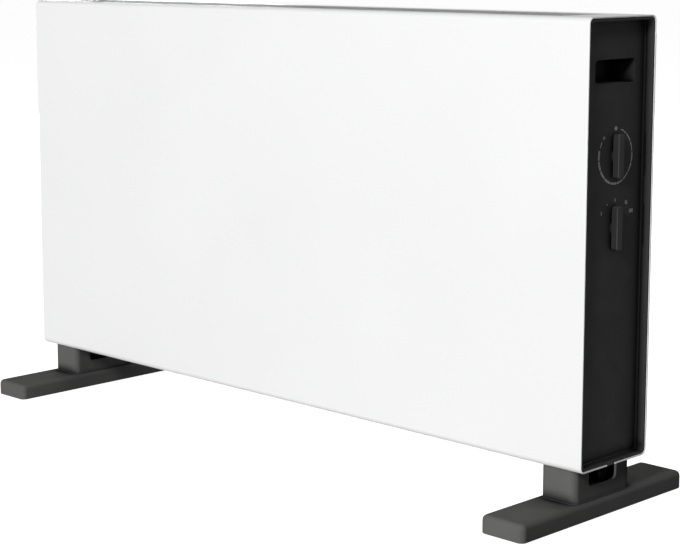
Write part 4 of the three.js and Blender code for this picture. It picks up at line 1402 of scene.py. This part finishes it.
def screwShape(head, headHeight, shank, length):
    rim, steps = screwHead["rim"], screwHead["crownSteps"]
    tipWidth, tipLength = shank * screwTip["width"], shank * screwTip["length"]
    profile = [(0, -length), (tipWidth, -length), (shank, tipLength - length), (shank, 0)]
    profile += [(head, 0), (head, headHeight * rim)]
    for step in range(1, steps + 1):
        angle = step / steps * math.pi / 2
        profile.append((head * math.cos(angle), headHeight * (rim + (1 - rim) * math.sin(angle))))
    piece = newPiece("screwShape", lambda bm: turned(bm, profile, (0, 0, 0), "z", sides=32))
    width = head * 2 * screwHead["recessWidth"]
    reach = head * screwHead["recessLength"]
    span = (headHeight * (1 - screwHead["recessDepth"]), headHeight + cutReach)
    for size in ((reach, width), (width, reach)):
        outline = roundedOutline((0, 0), size, width * screwHead["recessCorner"])
        carve(piece, lambda bm: addPrism(bm, "z", outline, span))
    return piece


def setScrews(kind, towards, shank, headHeight):
    names = numberedNodes(kind)
    along = screwAxes[towards]
    across = (along + 1) % 3
    low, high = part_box(names[0])
    head = (high[across] - low[across]) / 2
    shape = screwShape(head, headHeight, shank, high[along] - low[along] - headHeight)
    for name in names:
        low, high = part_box(name)
        seat = (low + high) / 2
        seat[along] = high[along] - headHeight if towards == "rear" else low[along] + headHeight
        mesh = shape.data.copy()
        mesh.transform(Matrix.Translation(seat) @ screwTurns[towards])
        piece = linkPiece(name.replace("_", "-") + "-crosshead", mesh)
        finishPiece(piece, "screw_steel", heaterBody, name)
    removePiece(shape)


for screwKind, screwSizes in screwKinds.items():
    setScrews(screwKind, **screwSizes)
print("screws ready")


# cable gland

# radius and height, the barrel and the collar from their inner ends and the dome from its outer end
gland = {
    "gap": 0.0003,
    "barrel": ((0.0038, 0), (0.0068, 0), (0.007, 0.0003)),
    "collar": ((0.007, 0), (0.0096, 0), (0.01, 0.0004), (0.01, 0.0022), (0.0092, 0.003), (0.008, 0.0032)),
    "dome": ((0.008, 0.0026), (0.0076, 0.0012), (0.0066, 0.0003), (0.0058, 0), (0.0044, 0), (0.0038, 0.0006)),
}


def glandProfile(inner, outer):
    collarStart = caseHigh.y + gland["gap"]
    profile = [(radius, inner + rise) for radius, rise in gland["barrel"]]
    profile += [(radius, collarStart + rise) for radius, rise in gland["collar"]]
    profile += [(radius, outer - drop) for radius, drop in gland["dome"]]
    return profile


def buildGland():
    low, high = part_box("cable_gland")
    x, _, z = middleOf("cable_gland")
    profile = glandProfile(low.y, high.y)
    piece = newPiece("cableGland", lambda bm: turned(bm, profile, (x, 0, z), "y", looped=True))
    finishPiece(piece, "black_plastic", heaterBody, "cable_gland", look=switchFinish)


buildGland()
print("gland ready")


# the pieces inside keep their solids and get softened edges

def smoothByAngle():
    group = bpy.data.node_groups.new("smoothByAngle", "GeometryNodeTree")
    group.interface.new_socket("Geometry", in_out="INPUT", socket_type="NodeSocketGeometry")
    group.interface.new_socket("Geometry", in_out="OUTPUT", socket_type="NodeSocketGeometry")
    entry = group.nodes.new("NodeGroupInput")
    leave = group.nodes.new("NodeGroupOutput")
    angle = group.nodes.new("GeometryNodeInputMeshEdgeAngle")
    compare = group.nodes.new("FunctionNodeCompare")
    compare.data_type = "FLOAT"
    compare.operation = "LESS_THAN"
    compare.inputs["B"].default_value = sharpAngle
    faces = group.nodes.new("GeometryNodeSetShadeSmooth")
    faces.domain = "FACE"
    edges = group.nodes.new("GeometryNodeSetShadeSmooth")
    edges.domain = "EDGE"
    group.links.new(angle.outputs["Unsigned Angle"], compare.inputs["A"])
    group.links.new(entry.outputs[0], faces.inputs["Geometry"])
    group.links.new(faces.outputs[0], edges.inputs["Geometry"])
    group.links.new(compare.outputs["Result"], edges.inputs["Shade Smooth"])
    group.links.new(edges.outputs[0], leave.inputs[0])
    return group


edgeSoftness = {
    "zinc_steel": 0.0002,
    "aluminium": 0.0002,
    "ceramic": 0.0004,
    "light_plastic": 0.0005,
    "black_plastic": 0.0005,
}
solidWeld = 0.000002
smoothGroup = smoothByAngle()
slotOf = {entry["node"]: entry["material_slot"] for entry in frame["record"]["subparts"]}
replaced = {name for piece in scene.objects for name in piece.get("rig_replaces", [])}


def dressSolid(name):
    solid = nodes[name]
    slot = slotOf[name]
    weld = solid.modifiers.new("weld", "WELD")
    weld.merge_threshold = solidWeld
    if slot.endswith("wire"):
        finer = solid.modifiers.new("roundWire", "SUBSURF")
        finer.levels = 2
        finer.render_levels = 2
    else:
        bevel = solid.modifiers.new("softEdge", "BEVEL")
        bevel.width = edgeSoftness[slot]
        bevel.segments = 2
        bevel.limit_method = "ANGLE"
        bevel.angle_limit = sharpAngle
    smooth = solid.modifiers.new("smooth", "NODES")
    smooth.node_group = smoothGroup
    look = switchFinish if name == "selector_switch_body" else finishes[slot]
    solid.data.materials.clear()
    solid.data.materials.append(look)


for nodeName in sorted(set(nodes) - replaced):
    dressSolid(nodeName)
print("inner pieces dressed,", len(nodes) - len(replaced))
